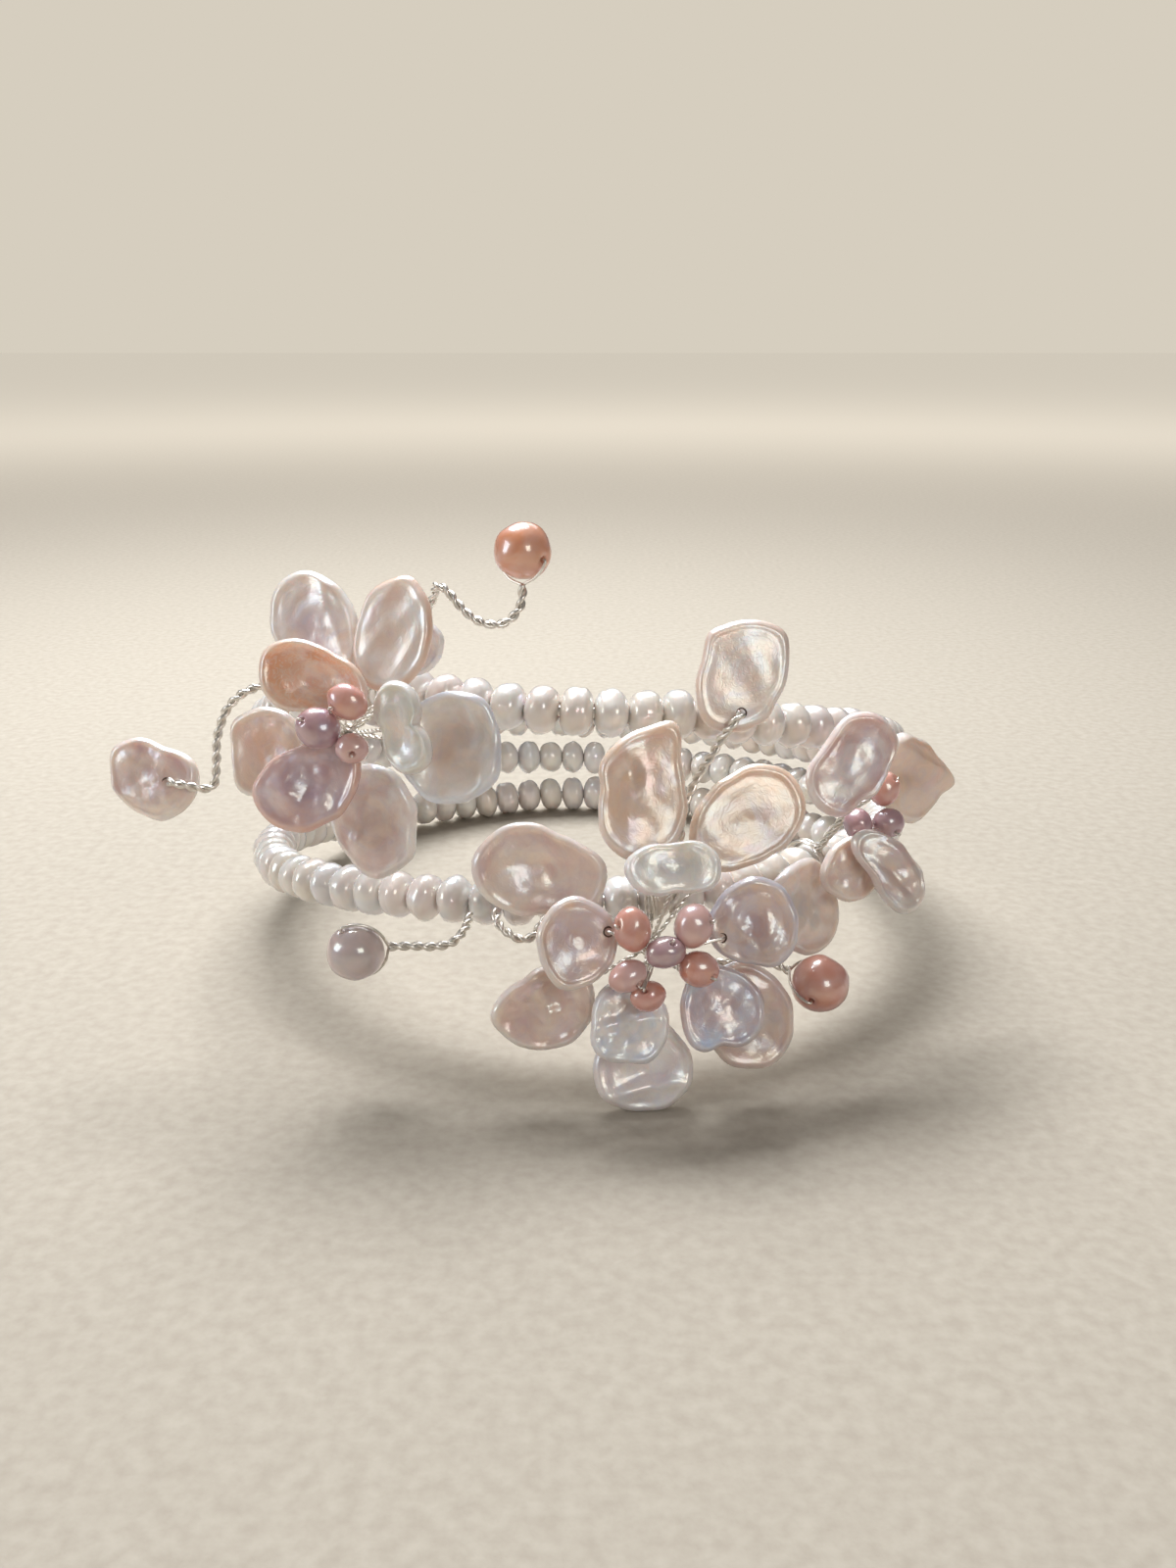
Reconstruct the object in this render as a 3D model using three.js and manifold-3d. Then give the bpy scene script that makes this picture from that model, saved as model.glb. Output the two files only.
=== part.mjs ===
import * as THREE from 'three';
import { mergeVertices } from 'three/addons/utils/BufferGeometryUtils.js';
import Module from 'manifold-3d';

const wasm = await Module();
wasm.setup();

// Driving dimensions, in millimetres and degrees
const clearance = 0.3;
const coilRadius = 29.5;
const coilTilt = 9.6;
const beadDiameter = 4.0;
const beadPitch = 2.65;
const beadShoulder = 0.62;
const stringDiameter = 2.0;
const rowGap = 0.3;
const splitTurn = 450;
const beadSides = 10;
const petalSides = 12;
const petalThickness = 1.5;
const pearlSides = 12;
const wrapWidth = 2.2;
const wrapThickness = 0.7;
const wrapSides = 10;
const postDiameter = 1.5;
const knotDiameter = 2.2;
const knotSides = 8;
const armDiameter = 0.6;
const armSides = 5;
const stemDiameter = 0.8;
const stemSides = 5;
const stemStepLength = 1.7;
const sprigPearlDiameter = 4.4;

// The string's route round the coil: turn in degrees from the right end, radius as a share of
// coilRadius, rise in rows of beads above the lowest row at the back
const stringRoute = [
  { turn: 12, radius: 1.0, rise: -0.52 },
  { turn: 30, radius: 1.0, rise: -0.39 },
  { turn: 60, radius: 1.0, rise: -0.17 },
  { turn: 90, radius: 1.0, rise: 0 },
  { turn: 122, radius: 1.0, rise: -0.17 },
  { turn: 150, radius: 1.0, rise: -0.19 },
  { turn: 180, radius: 1.0, rise: -0.07 },
  { turn: 212, radius: 1.0, rise: -0.05 },
  { turn: 240, radius: 1.0, rise: 0.05 },
  { turn: 258, radius: 1.0, rise: 0.08 },
  { turn: 285, radius: 1.0, rise: 0.19 },
  { turn: 315, radius: 1.0, rise: 0.49 },
  { turn: 345, radius: 1.0, rise: 0.61 },
  { turn: 365, radius: 1.0, rise: 0.62 },
  { turn: 390, radius: 1.0, rise: 0.67 },
  { turn: 420, radius: 1.0, rise: 0.85 },
  { turn: 450, radius: 1.0, rise: 1.0 },
  { turn: 482, radius: 1.0, rise: 1.15 },
  { turn: 510, radius: 1.0, rise: 1.75 },
  { turn: 540, radius: 1.0, rise: 2.51 },
  { turn: 575, radius: 0.99, rise: 3.49 },
  { turn: 600, radius: 0.98, rise: 3.88 },
  { turn: 618, radius: 0.99, rise: 3.68 },
  { turn: 633, radius: 1.0, rise: 3.57 },
  { turn: 645, radius: 1.0, rise: 3.51 },
  { turn: 660, radius: 1.0, rise: 3.3 },
  { turn: 681, radius: 1.0, rise: 2.98 },
  { turn: 700, radius: 1.0, rise: 2.6 },
  { turn: 720, radius: 1.0, rise: 2.14 },
  { turn: 750, radius: 1.0, rise: 1.72 },
  { turn: 780, radius: 1.0, rise: 1.87 },
  { turn: 810, radius: 1.0, rise: 2.02 },
  { turn: 842, radius: 1.0, rise: 2.2 },
  { turn: 870, radius: 1.0, rise: 2.8 },
  { turn: 893, radius: 1.0, rise: 3.5 },
];

// Each flower sits on the string at a turn, out from and above the string's middle, and faces an
// azimuth and elevation in the part's own frame. Its wires meet at the heart, in its own frame, and
// a stalk of wire rises from there to knotTop.
const flowerSeats = {
  flower_1: {
    turn: 600, out: 6.7, rise: -2.7, azimuth: 258, elevation: 18, heart: [0, 0, -1.6], knotTop: -1.6,
  },
  flower_2: {
    turn: 280.4, out: 6.4, rise: -2.1, azimuth: 275, elevation: 18, heart: [-0.8, -0.3, -1.6], knotTop: 2.4,
  },
  flower_3: {
    turn: 310, out: 6.9, rise: 5.2, azimuth: 288, elevation: 18, heart: [-1.0, 0.3, -2.2], knotTop: -2.2,
  },
};

// Petals: clock and reach place the middle in the flower's face, lift is in front of it, axis is the
// direction of the tip, lean brings the tip forward, roll turns the petal about its own length.
// Taper widens the tip, square fills the corners (1 is an ellipse), bend bows the outline sideways,
// dish raises the rim, and thick is a share of petalThickness.
const petalColumns = [
  'clock', 'reach', 'lift', 'axis', 'length', 'width', 'lean', 'roll',
  'taper', 'square', 'bend', 'dish', 'thick', 'colour',
];
const petalRows = {
  flower_1: [
    [106, 8.1, -0.2, 118, 8.9, 6.5, -4, 0, 0.12, 0.85, 0.04, 0.3, 1.0, 0xe6dfe6],
    [61, 8.4, 1.3, 87, 8.5, 6.3, -3, -6, 0.05, 0.9, -0.03, 0.3, 1.0, 0xf0e0d2],
    [50, 8.7, -0.6, 54, 4.3, 3.6, 0, 0, 0, 0.95, 0, 0, 1.0, 0xe8dccb],
    [107, 3.6, 3.1, 165, 8.4, 5.2, 6, 0, 0.15, 0.9, -0.04, 0.4, 1.0, 0xe3b08e],
    [199, 5.6, 0.2, 190, 6.6, 6.8, -6, 0, 0.15, 0.85, 0, 0.3, 1.0, 0xe4cdbb],
    [258, 3.9, 3.3, 218, 8.3, 6.1, 6, 0, 0.1, 0.85, 0.03, 0.3, 1.0, 0xd6b3b3],
    [297, 7.2, 0.4, 279, 8.2, 6.7, -5, 0, -0.04, 0.85, 0, 0.2, 1.0, 0xe3cdc8],
    [4, 6.2, 4.4, 289, 6.7, 3.5, 0, 8, 0, 0.8, 0.1, 0, 1.35, 0xe6e4d8],
    [356, 9.1, 1.3, 1, 7.7, 8.1, -4, 0, 0.1, 0.9, 0, 0.5, 0.9, 0xdcd8d8],
  ],
  flower_2: [
    [98, 11.4, 0.5, 84, 10.0, 6.5, -2, 0, -0.12, 0.85, -0.06, 0.2, 1.1, 0xe2c3a6],
    [54, 11.2, -0.7, 33, 9.6, 6.8, -3, 0, 0.12, 0.95, 0, 0.3, 1.0, 0xdfc7b4],
    [147, 10.5, -0.1, 170, 10.0, 6.3, -5, 0, 0.1, 0.85, 0, 0.3, 1.0, 0xe8d9cb],
    [85, 5.9, 3.6, 4, 6.8, 3.8, 0, -10, 0, 0.8, 0, 0.1, 1.25, 0xc9c6c2],
    [173, 6.6, 2.7, 187, 6.0, 6.5, 9, 0, 0.1, 0.95, 0, 0.3, 1.0, 0xd5bcba],
    [206, 9.7, -0.2, 203, 7.5, 5.9, -4, 0, 0, 0.9, 0, 0.2, 1.0, 0xcfbaa7],
    [240, 5.8, 2.5, 264, 6.1, 5.7, 6, 0, 0.1, 0.85, 0, 0.2, 1.0, 0xcfcdca],
    [259, 8.9, 0, 269, 7.0, 7.3, 0, 0, 0.15, 0.9, 0, 0.3, 1.1, 0xdcd8d4],
    [311, 5.7, 2.6, 297, 6.1, 5.9, 6, 0, 0.2, 0.8, 0, 0.2, 1.0, 0xcbbcc6],
    [319, 8.2, 0.1, 285, 8.1, 6.6, -3, 0, 0.1, 0.9, 0, 0.2, 1.0, 0xcdbfbf],
    [14, 6.6, 2.8, 12, 6.3, 6.8, 8, 0, 0.1, 0.95, 0, 0.3, 1.0, 0xd3bebd],
    [11, 11.2, -2.4, 5, 7.8, 7.1, -36, 0, 0.15, 0.9, 0, 0.2, 1.0, 0xcfccc2],
  ],
  flower_3: [
    [128, 5.1, 3.3, 43, 9.6, 6.1, 4, 0, 0.1, 0.85, 0, 0.3, 1.1, 0xdacbd0],
    [31, 5.6, -1.6, 338, 8.4, 6.4, -20, 0, -0.28, 1.1, 0, 0, 1.1, 0xe6d5c6],
    [227, 5.1, 2.2, 240, 5.0, 4.7, -4, 0, 0.1, 0.9, 0, 0.2, 1.0, 0xd3c2b9],
    [254, 4.3, 4.3, 299, 7.4, 3.7, 6, 0, 0.1, 0.85, 0.06, 0, 1.15, 0xdac4bb],
  ],
};

// Centre pearls: place in the flower's own frame, and the two diameters
const centrePearls = {
  flower_1: [
    { x: 0.3, y: 0.1, z: 5.2, across: 3.0, along: 2.4, colour: 0xb98c96 },
    { x: 2.5, y: 2.1, z: 5.5, across: 2.5, along: 2.1, colour: 0xe0a083 },
    { x: 2.9, y: -1.2, z: 5.0, across: 2.2, along: 2.0, colour: 0xd49c92 },
  ],
  flower_2: [
    { x: -2.7, y: 1.7, z: 4.6, across: 2.5, along: 2.3, colour: 0xdb9c84 },
    { x: 1.7, y: 1.8, z: 4.6, across: 2.6, along: 2.3, colour: 0xdcb3a5 },
    { x: -0.4, y: 0, z: 4.8, across: 2.4, along: 2.1, colour: 0xc79aa6 },
    { x: -3.1, y: -1.6, z: 4.7, across: 2.3, along: 1.9, colour: 0xd89f95 },
    { x: -1.7, y: -3.1, z: 4.5, across: 2.3, along: 1.8, colour: 0xd98c78 },
    { x: 2.0, y: -1.3, z: 4.6, across: 2.5, along: 2.2, colour: 0xdc9d84 },
  ],
  flower_3: [
    { x: 0.7, y: 2.0, z: 1.0, across: 2.4, along: 2.2, colour: 0xc9826f },
    { x: -2.0, y: -0.5, z: 1.2, across: 2.2, along: 2.0, colour: 0xb08491 },
    { x: 0.7, y: -0.7, z: 1.1, across: 2.2, along: 2.0, colour: 0xb57c84 },
  ],
};

// Wire stems, as the points they pass in their flower's own frame
const sprigStems = {
  top_sprig_stem: {
    flower: 'flower_1',
    points: [
      [3.0, 2.0, -2.8], [4.0, 5.4, -2.8], [4.9, 8.6, -2.4], [6.2, 10.7, -1.4], [6.7, 11.4, -0.3],
      [7.6, 11.1, 0], [8.6, 10.1, 0], [9.7, 9.2, 0], [11.0, 8.7, 0], [12.4, 8.9, 0], [13.4, 10.1, 0],
      [13.5, 11.7, 0],
    ],
  },
  left_sprig_stem: {
    flower: 'flower_1',
    points: [
      [-1.7, 0.6, -2.4], [-4.2, 2.6, -2.6], [-6.4, 3.2, -0.6], [-7.9, 2.7, 0], [-9.1, 1.7, 0],
      [-9.8, 0.3, 0], [-10.1, -1.4, 0], [-10.0, -3.2, 0], [-10.1, -4.7, 0.1], [-10.9, -5.0, 0.5],
      [-11.9, -4.8, 1.3], [-13.2, -4.6, 1.5],
    ],
  },
  middle_sprig_stem: {
    flower: 'flower_2',
    points: [
      [1.2, 1.7, -2.7], [1.7, 5.0, -2.7], [2.2, 9.6, -2.5], [2.9, 11.7, -1.8], [3.5, 12.9, -1.1],
      [4.2, 14.1, -0.2], [4.8, 15.2, 0.6], [5.4, 16.2, 1.8], [6.1, 17.0, 2.0],
    ],
  },
  lower_sprig_stem: {
    flower: 'flower_2',
    points: [
      [-14.2, 2.2, -5.2], [-14.6, 1.3, -3.6], [-15.6, 0.4, -2.7], [-17.0, 0.2, -2.5],
      [-18.6, 0.3, -2.5], [-20.3, 0.3, -2.5],
    ],
  },
  right_sprig_stem: {
    flower: 'flower_2',
    points: [
      [0.9, -1.5, -2.7], [4.4, -1.9, -3.0], [7.2, -1.8, -2.5], [8.8, -2.0, -1.6], [9.7, -2.4, -0.7],
    ],
  },
  front_wire_loop: {
    flower: 'flower_2',
    points: [
      [-12.3, 2.5, -4.9], [-12.0, 1.6, -3.4], [-11.2, 0.9, -2.6], [-10.2, 0.5, -2.3],
      [-9.3, 0.9, -2.3], [-8.4, 2.0, -2.5], [-6.0, 2.2, -2.9], [-2.8, 1.0, -3.1],
    ],
  },
};

// Round pearls at the stems' ends: direction from the stem's last point to the pearl's middle
const sprigPearls = {
  top_sprig_pearl: { stem: 'top_sprig_stem', towards: [-0.05, 1, 0.05], colour: 0xe6a98c },
  lower_sprig_pearl: { stem: 'lower_sprig_stem', towards: [-1, -0.12, 0], colour: 0xcbb9be },
  right_sprig_pearl: { stem: 'right_sprig_stem', towards: [0.9, -0.4, 0.25], colour: 0xd99b84 },
};

// Petals at the stems' ends, in the columns of the flowers' petals
const sprigPetals = {
  left_sprig_petal: {
    flower: 'flower_1',
    row: [196, 15.7, 0, 161, 7.4, 5.8, 0, 0, 0.02, 0.85, 0.03, 0.1, 1.1, 0xe2dcdf],
  },
  middle_sprig_petal: {
    flower: 'flower_2',
    row: [72, 20.9, 0.4, 66, 7.9, 6.1, 0, 0, 0.03, 0.55, 0, 0.1, 1.1, 0xe9ddd3],
  },
};

const colours = { beads: 0xefebe2, wire: 0xcfcac2 };
const radians = THREE.MathUtils.degToRad;

// A material for pearl or for wire
function pearlMaterial(colour) {
  return new THREE.MeshStandardMaterial({ color: colour, roughness: 0.25, metalness: 0 });
}

function wireMaterial() {
  return new THREE.MeshStandardMaterial({ color: colours.wire, roughness: 0.3, metalness: 1 });
}

function namedMesh(name, geometry, material) {
  const mesh = new THREE.Mesh(geometry, material);
  mesh.name = name;
  return mesh;
}

// A closed surface from its corners and faces
function surface(corners, faces) {
  const geometry = new THREE.BufferGeometry();
  geometry.setAttribute('position', new THREE.Float32BufferAttribute(corners.flat(), 3));
  geometry.setIndex(faces.flat());
  return geometry;
}

// Joins closed rings of equal size into one skin, each end closed by a point or a fan
function skin(rings, firstPole, lastPole) {
  const sides = rings[0].length;
  const corners = rings.flat();
  const faces = [];
  for (let r = 0; r + 1 < rings.length; r += 1) {
    for (let s = 0; s < sides; s += 1) {
      const next = (s + 1) % sides;
      const [a, b] = [r * sides + s, r * sides + next];
      const [c, d] = [a + sides, b + sides];
      faces.push([a, b, d], [a, d, c]);
    }
  }
  const first = corners.push(firstPole) - 1;
  const last = corners.push(lastPole) - 1;
  const lastRing = (rings.length - 1) * sides;
  for (let s = 0; s < sides; s += 1) {
    const next = (s + 1) % sides;
    faces.push([first, next, s], [last, lastRing + s, lastRing + next]);
  }
  return surface(corners, faces);
}

// Manifold solids for the joins
function solidOf(geometry) {
  const plain = geometry.clone();
  plain.deleteAttribute('normal');
  plain.deleteAttribute('uv');
  const merged = mergeVertices(plain, 1e-4);
  return new wasm.Manifold(new wasm.Mesh({
    numProp: 3,
    vertProperties: new Float32Array(merged.attributes.position.array),
    triVerts: new Uint32Array(merged.index.array),
  }));
}

function geometryOf(solid) {
  const mesh = solid.getMesh();
  const geometry = new THREE.BufferGeometry();
  geometry.setAttribute('position', new THREE.BufferAttribute(mesh.vertProperties, 3));
  geometry.setIndex(new THREE.BufferAttribute(mesh.triVerts, 1));
  return geometry;
}

function joined(geometries) {
  return geometryOf(geometries.map(solidOf).reduce((whole, next) => whole.add(next)));
}

// The route's value at a turn: a smooth curve through the rows on either side
function routeValue(turn, column) {
  const last = stringRoute.length - 1;
  let k = 0;
  while (k < last - 1 && stringRoute[k + 1].turn < turn) {
    k += 1;
  }
  const row = (index) => stringRoute[Math.min(Math.max(index, 0), last)];
  const slope = (index) => {
    const [before, after] = [row(index - 1), row(index + 1)];
    return (after[column] - before[column]) / (after.turn - before.turn);
  };
  const width = row(k + 1).turn - row(k).turn;
  const t = (turn - row(k).turn) / width;
  const start = row(k)[column] * (1 + 2 * t) * (1 - t) ** 2 + slope(k) * width * t * (1 - t) ** 2;
  const end = row(k + 1)[column] * (3 - 2 * t) * t ** 2 + slope(k + 1) * width * (t - 1) * t ** 2;
  return start + end;
}

// The middle of the string at a turn, in the coil's own frame
function stringPoint(turn) {
  const radius = coilRadius * routeValue(turn, 'radius');
  const height = (beadDiameter + rowGap) * routeValue(turn, 'rise');
  const angle = radians(turn);
  return new THREE.Vector3(radius * Math.cos(angle), radius * Math.sin(angle), height);
}

// Turns at equal steps along the string, from one half bead before the first bead's middle
function beadTurns() {
  const turnStep = 0.25;
  const lastTurn = stringRoute[stringRoute.length - 1].turn;
  const turns = [stringRoute[0].turn];
  let travelled = 0;
  let before = stringPoint(turns[0]);
  for (let turn = turns[0] + turnStep; turn <= lastTurn; turn += turnStep) {
    const here = stringPoint(turn);
    const step = here.distanceTo(before);
    while (travelled + step >= turns.length * beadPitch) {
      turns.push(turn - turnStep * (travelled + step - turns.length * beadPitch) / step);
    }
    travelled += step;
    before = here;
  }
  return turns;
}

// A ring of corners square to the string
function stringRing(turn, offset, radius) {
  const middle = stringPoint(turn);
  const along = stringPoint(turn + 1).sub(stringPoint(turn - 1)).normalize();
  const outward = new THREE.Vector3(middle.x, middle.y, 0);
  outward.addScaledVector(along, -outward.dot(along)).normalize();
  const upward = new THREE.Vector3().crossVectors(along, outward);
  const ring = [];
  for (let s = 0; s < beadSides; s += 1) {
    const angle = (2 * Math.PI * (s + 0.5)) / beadSides;
    const corner = middle.clone().addScaledVector(along, offset);
    corner.addScaledVector(outward, radius * Math.cos(angle));
    corner.addScaledVector(upward, radius * Math.sin(angle));
    ring.push(corner.toArray());
  }
  return ring;
}

// Beads side by side on their wire, fused into one body
function beadString(turns) {
  const beadRadius = beadDiameter / 2 / Math.cos(Math.PI / beadSides) - clearance / 4;
  const stringRadius = stringDiameter / 2;
  const rings = [stringRing(turns[0], clearance / 2, stringRadius)];
  for (let k = 0; k + 1 < turns.length; k += 1) {
    const middle = (turns[k] + turns[k + 1]) / 2;
    const size = beadRadius * (1 - 0.025 * (1 + Math.sin(2.4 * k)));
    rings.push(stringRing(middle, -beadShoulder, size));
    rings.push(stringRing(middle, beadShoulder, size));
    const endOffset = k + 2 === turns.length ? -clearance / 2 : 0;
    rings.push(stringRing(turns[k + 1], endOffset, stringRadius));
  }
  const centreOf = (ring) => [0, 1, 2].map((i) => ring.reduce((sum, p) => sum + p[i], 0) / ring.length);
  return skin(rings, centreOf(rings[0]), centreOf(rings[rings.length - 1]));
}

// A point of a petal's outline, at a share of the way out from its middle
function petalPoint(petal, angle, share) {
  const squared = (value) => Math.sign(value) * Math.abs(value) ** petal.square;
  const x = -(petal.length / 2) * squared(Math.cos(angle)) * share;
  const y = (petal.width / 2) * squared(Math.sin(angle)) * (1 - petal.taper * Math.cos(angle)) * share;
  const bow = petal.bend * petal.width * (1 - (2 * x / petal.length) ** 2);
  return [x, y + bow];
}

// A flat pearl: rounded rim, full front, plainer back
function petalGeometry(petal) {
  const thickness = petalThickness * petal.thick;
  const level = (share, side) => {
    return petal.dish * share ** 2 + side * (thickness / 2) * Math.sqrt(1 - share ** 4);
  };
  const ring = (share, side) => {
    const corners = [];
    for (let s = 0; s < petalSides; s += 1) {
      const angle = (-2 * Math.PI * s) / petalSides;
      corners.push([...petalPoint(petal, angle, share), level(share, side)]);
    }
    return corners;
  };
  const [frontX, frontY] = petalPoint(petal, 0, 0);
  const front = [frontX, frontY, level(0, 1)];
  const back = [frontX, frontY, level(0, -1)];
  return skin([ring(0.8, -1), ring(1, 0), ring(0.88, 1), ring(0.5, 1)], back, front);
}

// A petal's row as named values
function petalOf(row) {
  return Object.fromEntries(petalColumns.map((column, index) => [column, row[index]]));
}

function petalMesh(name, petal) {
  const mesh = namedMesh(name, petalGeometry(petal), pearlMaterial(petal.colour));
  const clock = radians(petal.clock);
  mesh.position.set(petal.reach * Math.cos(clock), petal.reach * Math.sin(clock), petal.lift);
  mesh.rotation.set(radians(petal.roll), -radians(petal.lean), radians(petal.axis), 'ZYX');
  mesh.updateMatrix();
  return mesh;
}

// The place behind a petal where its wire ends: on the line from its middle to the flower's middle
function petalSeat(mesh, petal) {
  const inset = 0.62;
  const backRing = 0.8;
  const inward = new THREE.Vector3().applyMatrix4(mesh.matrix.clone().invert());
  const angle = Math.atan2(-inward.y / petal.width, -inward.x / petal.length) + Math.PI;
  const share = Math.min(inset, inward.length() / petal.length);
  const [x, y] = petalPoint(petal, Math.PI - angle, share);
  const backSlope = (1 - Math.sqrt(1 - backRing ** 4)) / backRing;
  const back = ((petalThickness * petal.thick) / 2) * (1 - backSlope * share);
  const depth = back + clearance + armDiameter / 2.5;
  return new THREE.Vector3(x, y, petal.dish * share ** 2 - depth).applyMatrix4(mesh.matrix);
}

// A round rod between two points
function rod(from, to, diameter, sides) {
  const length = from.distanceTo(to);
  const geometry = new THREE.CylinderGeometry(diameter / 2, diameter / 2, length, sides);
  const along = to.clone().sub(from).normalize();
  geometry.applyQuaternion(new THREE.Quaternion().setFromUnitVectors(new THREE.Vector3(0, 1, 0), along));
  const middle = from.clone().add(to).multiplyScalar(0.5);
  return geometry.translate(middle.x, middle.y, middle.z);
}

// A collar of wound wire round the string
function wrap(middle, along) {
  const inner = beadDiameter / 2 / Math.cos(Math.PI / beadSides) + clearance;
  const outer = inner + wrapThickness;
  const half = wrapWidth / 2;
  const profile = [
    [inner, -half], [outer, -half], [outer, half], [inner, half], [inner, -half],
  ].map(([radius, height]) => new THREE.Vector2(radius / Math.cos(Math.PI / wrapSides), height));
  const geometry = new THREE.LatheGeometry(profile, wrapSides);
  geometry.applyQuaternion(new THREE.Quaternion().setFromUnitVectors(new THREE.Vector3(0, 1, 0), along));
  return { geometry: geometry.translate(middle.x, middle.y, middle.z), outer };
}

function centrePearlMesh(name, pearl) {
  const geometry = new THREE.SphereGeometry(pearl.across / 2, beadSides, 4);
  geometry.scale(1, pearl.along / pearl.across, pearl.along / pearl.across);
  const mesh = namedMesh(name, geometry, pearlMaterial(pearl.colour));
  mesh.position.set(pearl.x, pearl.y, pearl.z);
  mesh.rotation.z = Math.atan2(pearl.y, pearl.x);
  return mesh;
}

// The wire that holds a flower: a collar on the string, a post, a knot and an arm to each petal
function wireHub(flower, seat, petals) {
  const toFlower = flower.matrix.clone().invert().multiply(coil.matrix);
  const middle = stringPoint(seat.turn).applyMatrix4(toFlower);
  const ahead = stringPoint(seat.turn + 1).applyMatrix4(toFlower);
  const along = ahead.sub(middle).normalize();
  const collar = wrap(middle, along);
  const heart = new THREE.Vector3(...seat.heart);
  const knot = heart.clone().setZ(seat.knotTop);
  const towardsHeart = heart.clone().sub(middle);
  towardsHeart.addScaledVector(along, -towardsHeart.dot(along)).normalize();
  const foot = middle.clone().addScaledVector(towardsHeart, collar.outer - wrapThickness / 2);
  const ball = new THREE.SphereGeometry(knotDiameter / 2, knotSides, 4);
  const parts = [
    collar.geometry,
    rod(foot, heart, postDiameter, knotSides),
    ball.translate(heart.x, heart.y, heart.z),
  ];
  if (knot.z > heart.z) {
    parts.push(rod(heart, knot, postDiameter, knotSides));
  }
  for (const { mesh, petal } of petals) {
    parts.push(rod(heart, petalSeat(mesh, petal), armDiameter, armSides));
  }
  return joined(parts);
}

// A twisted wire stem, as the round tube that it fills
function stemGeometry(points) {
  const curve = new THREE.CatmullRomCurve3(points.map((p) => new THREE.Vector3(...p)));
  const section = new THREE.Shape();
  for (let s = 0; s < stemSides; s += 1) {
    const angle = (2 * Math.PI * s) / stemSides;
    const [x, y] = [Math.cos(angle), Math.sin(angle)].map((value) => value * stemDiameter / 2);
    if (s === 0) {
      section.moveTo(x, y);
    } else {
      section.lineTo(x, y);
    }
  }
  const steps = Math.ceil(curve.getLength() / stemStepLength);
  return new THREE.ExtrudeGeometry(section, { steps, extrudePath: curve, bevelEnabled: false });
}

function sprigPearlMesh(name, pearl) {
  const points = sprigStems[pearl.stem].points;
  const end = new THREE.Vector3(...points[points.length - 1]);
  const towards = new THREE.Vector3(...pearl.towards).normalize();
  const mesh = namedMesh(name, new THREE.SphereGeometry(sprigPearlDiameter / 2, pearlSides, 6),
    pearlMaterial(pearl.colour));
  mesh.position.copy(end.addScaledVector(towards, sprigPearlDiameter / 2 + clearance));
  return mesh;
}

// A flower's own frame: x to its right, y up its face, z out of it
function flowerFrame(seat) {
  const frame = new THREE.Group();
  const [azimuth, elevation] = [radians(seat.azimuth), radians(seat.elevation)];
  const out = new THREE.Vector3(Math.cos(azimuth), Math.sin(azimuth), 0).multiplyScalar(Math.cos(elevation));
  out.z = Math.sin(elevation);
  const across = new THREE.Vector3(-Math.sin(azimuth), Math.cos(azimuth), 0);
  const up = new THREE.Vector3().crossVectors(out, across);
  frame.quaternion.setFromRotationMatrix(new THREE.Matrix4().makeBasis(across, up, out));
  const middle = stringPoint(seat.turn);
  const outward = new THREE.Vector3(middle.x, middle.y, 0).normalize();
  middle.addScaledVector(outward, seat.out);
  middle.z += seat.rise;
  frame.position.copy(middle.applyMatrix4(coil.matrix));
  frame.updateMatrix();
  return frame;
}

const bracelet = new THREE.Group();

const coil = new THREE.Group();
coil.rotation.x = -radians(coilTilt);
coil.updateMatrix();
bracelet.add(coil);

const turns = beadTurns();
const split = turns.findIndex((turn) => turn >= splitTurn);
coil.add(namedMesh('lower_bead_string', beadString(turns.slice(0, split + 1)), pearlMaterial(colours.beads)));
coil.add(namedMesh('upper_bead_string', beadString(turns.slice(split)), pearlMaterial(colours.beads)));

const flowers = {};
for (const [name, seat] of Object.entries(flowerSeats)) {
  const flower = flowerFrame(seat);
  const petals = petalRows[name].map((row, index) => {
    const petal = petalOf(row);
    return { petal, mesh: petalMesh(`${name}_petal_${index + 1}`, petal) };
  });
  petals.forEach(({ mesh }) => flower.add(mesh));
  centrePearls[name].forEach((pearl, index) => {
    flower.add(centrePearlMesh(`${name}_centre_pearl_${index + 1}`, pearl));
  });
  const hub = wireHub(flower, seat, petals);
  flower.add(namedMesh(`${name}_wire_hub`, hub, wireMaterial()));
  flowers[name] = flower;
  bracelet.add(flower);
}

for (const [name, stem] of Object.entries(sprigStems)) {
  flowers[stem.flower].add(namedMesh(name, stemGeometry(stem.points), wireMaterial()));
}
for (const [name, pearl] of Object.entries(sprigPearls)) {
  flowers[sprigStems[pearl.stem].flower].add(sprigPearlMesh(name, pearl));
}
for (const [name, { flower, row }] of Object.entries(sprigPetals)) {
  flowers[flower].add(petalMesh(name, petalOf(row)));
}

// The origin is under the middle of the whole piece, on the surface that it rests on
const extent = new THREE.Box3().setFromObject(bracelet, true);
const middle = extent.getCenter(new THREE.Vector3());
bracelet.position.set(-middle.x, -middle.y, -extent.min.z);
bracelet.updateMatrixWorld(true);

export default bracelet;
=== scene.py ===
# Looks of the pearl bracelet: button pearls on spring wire, flowers of flat pearls, sprigs of twisted wire
import math
from math import cos, degrees, exp, pi, radians, sin

import bpy
import numpy as np
from mathutils import Matrix, Vector, noise


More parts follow.
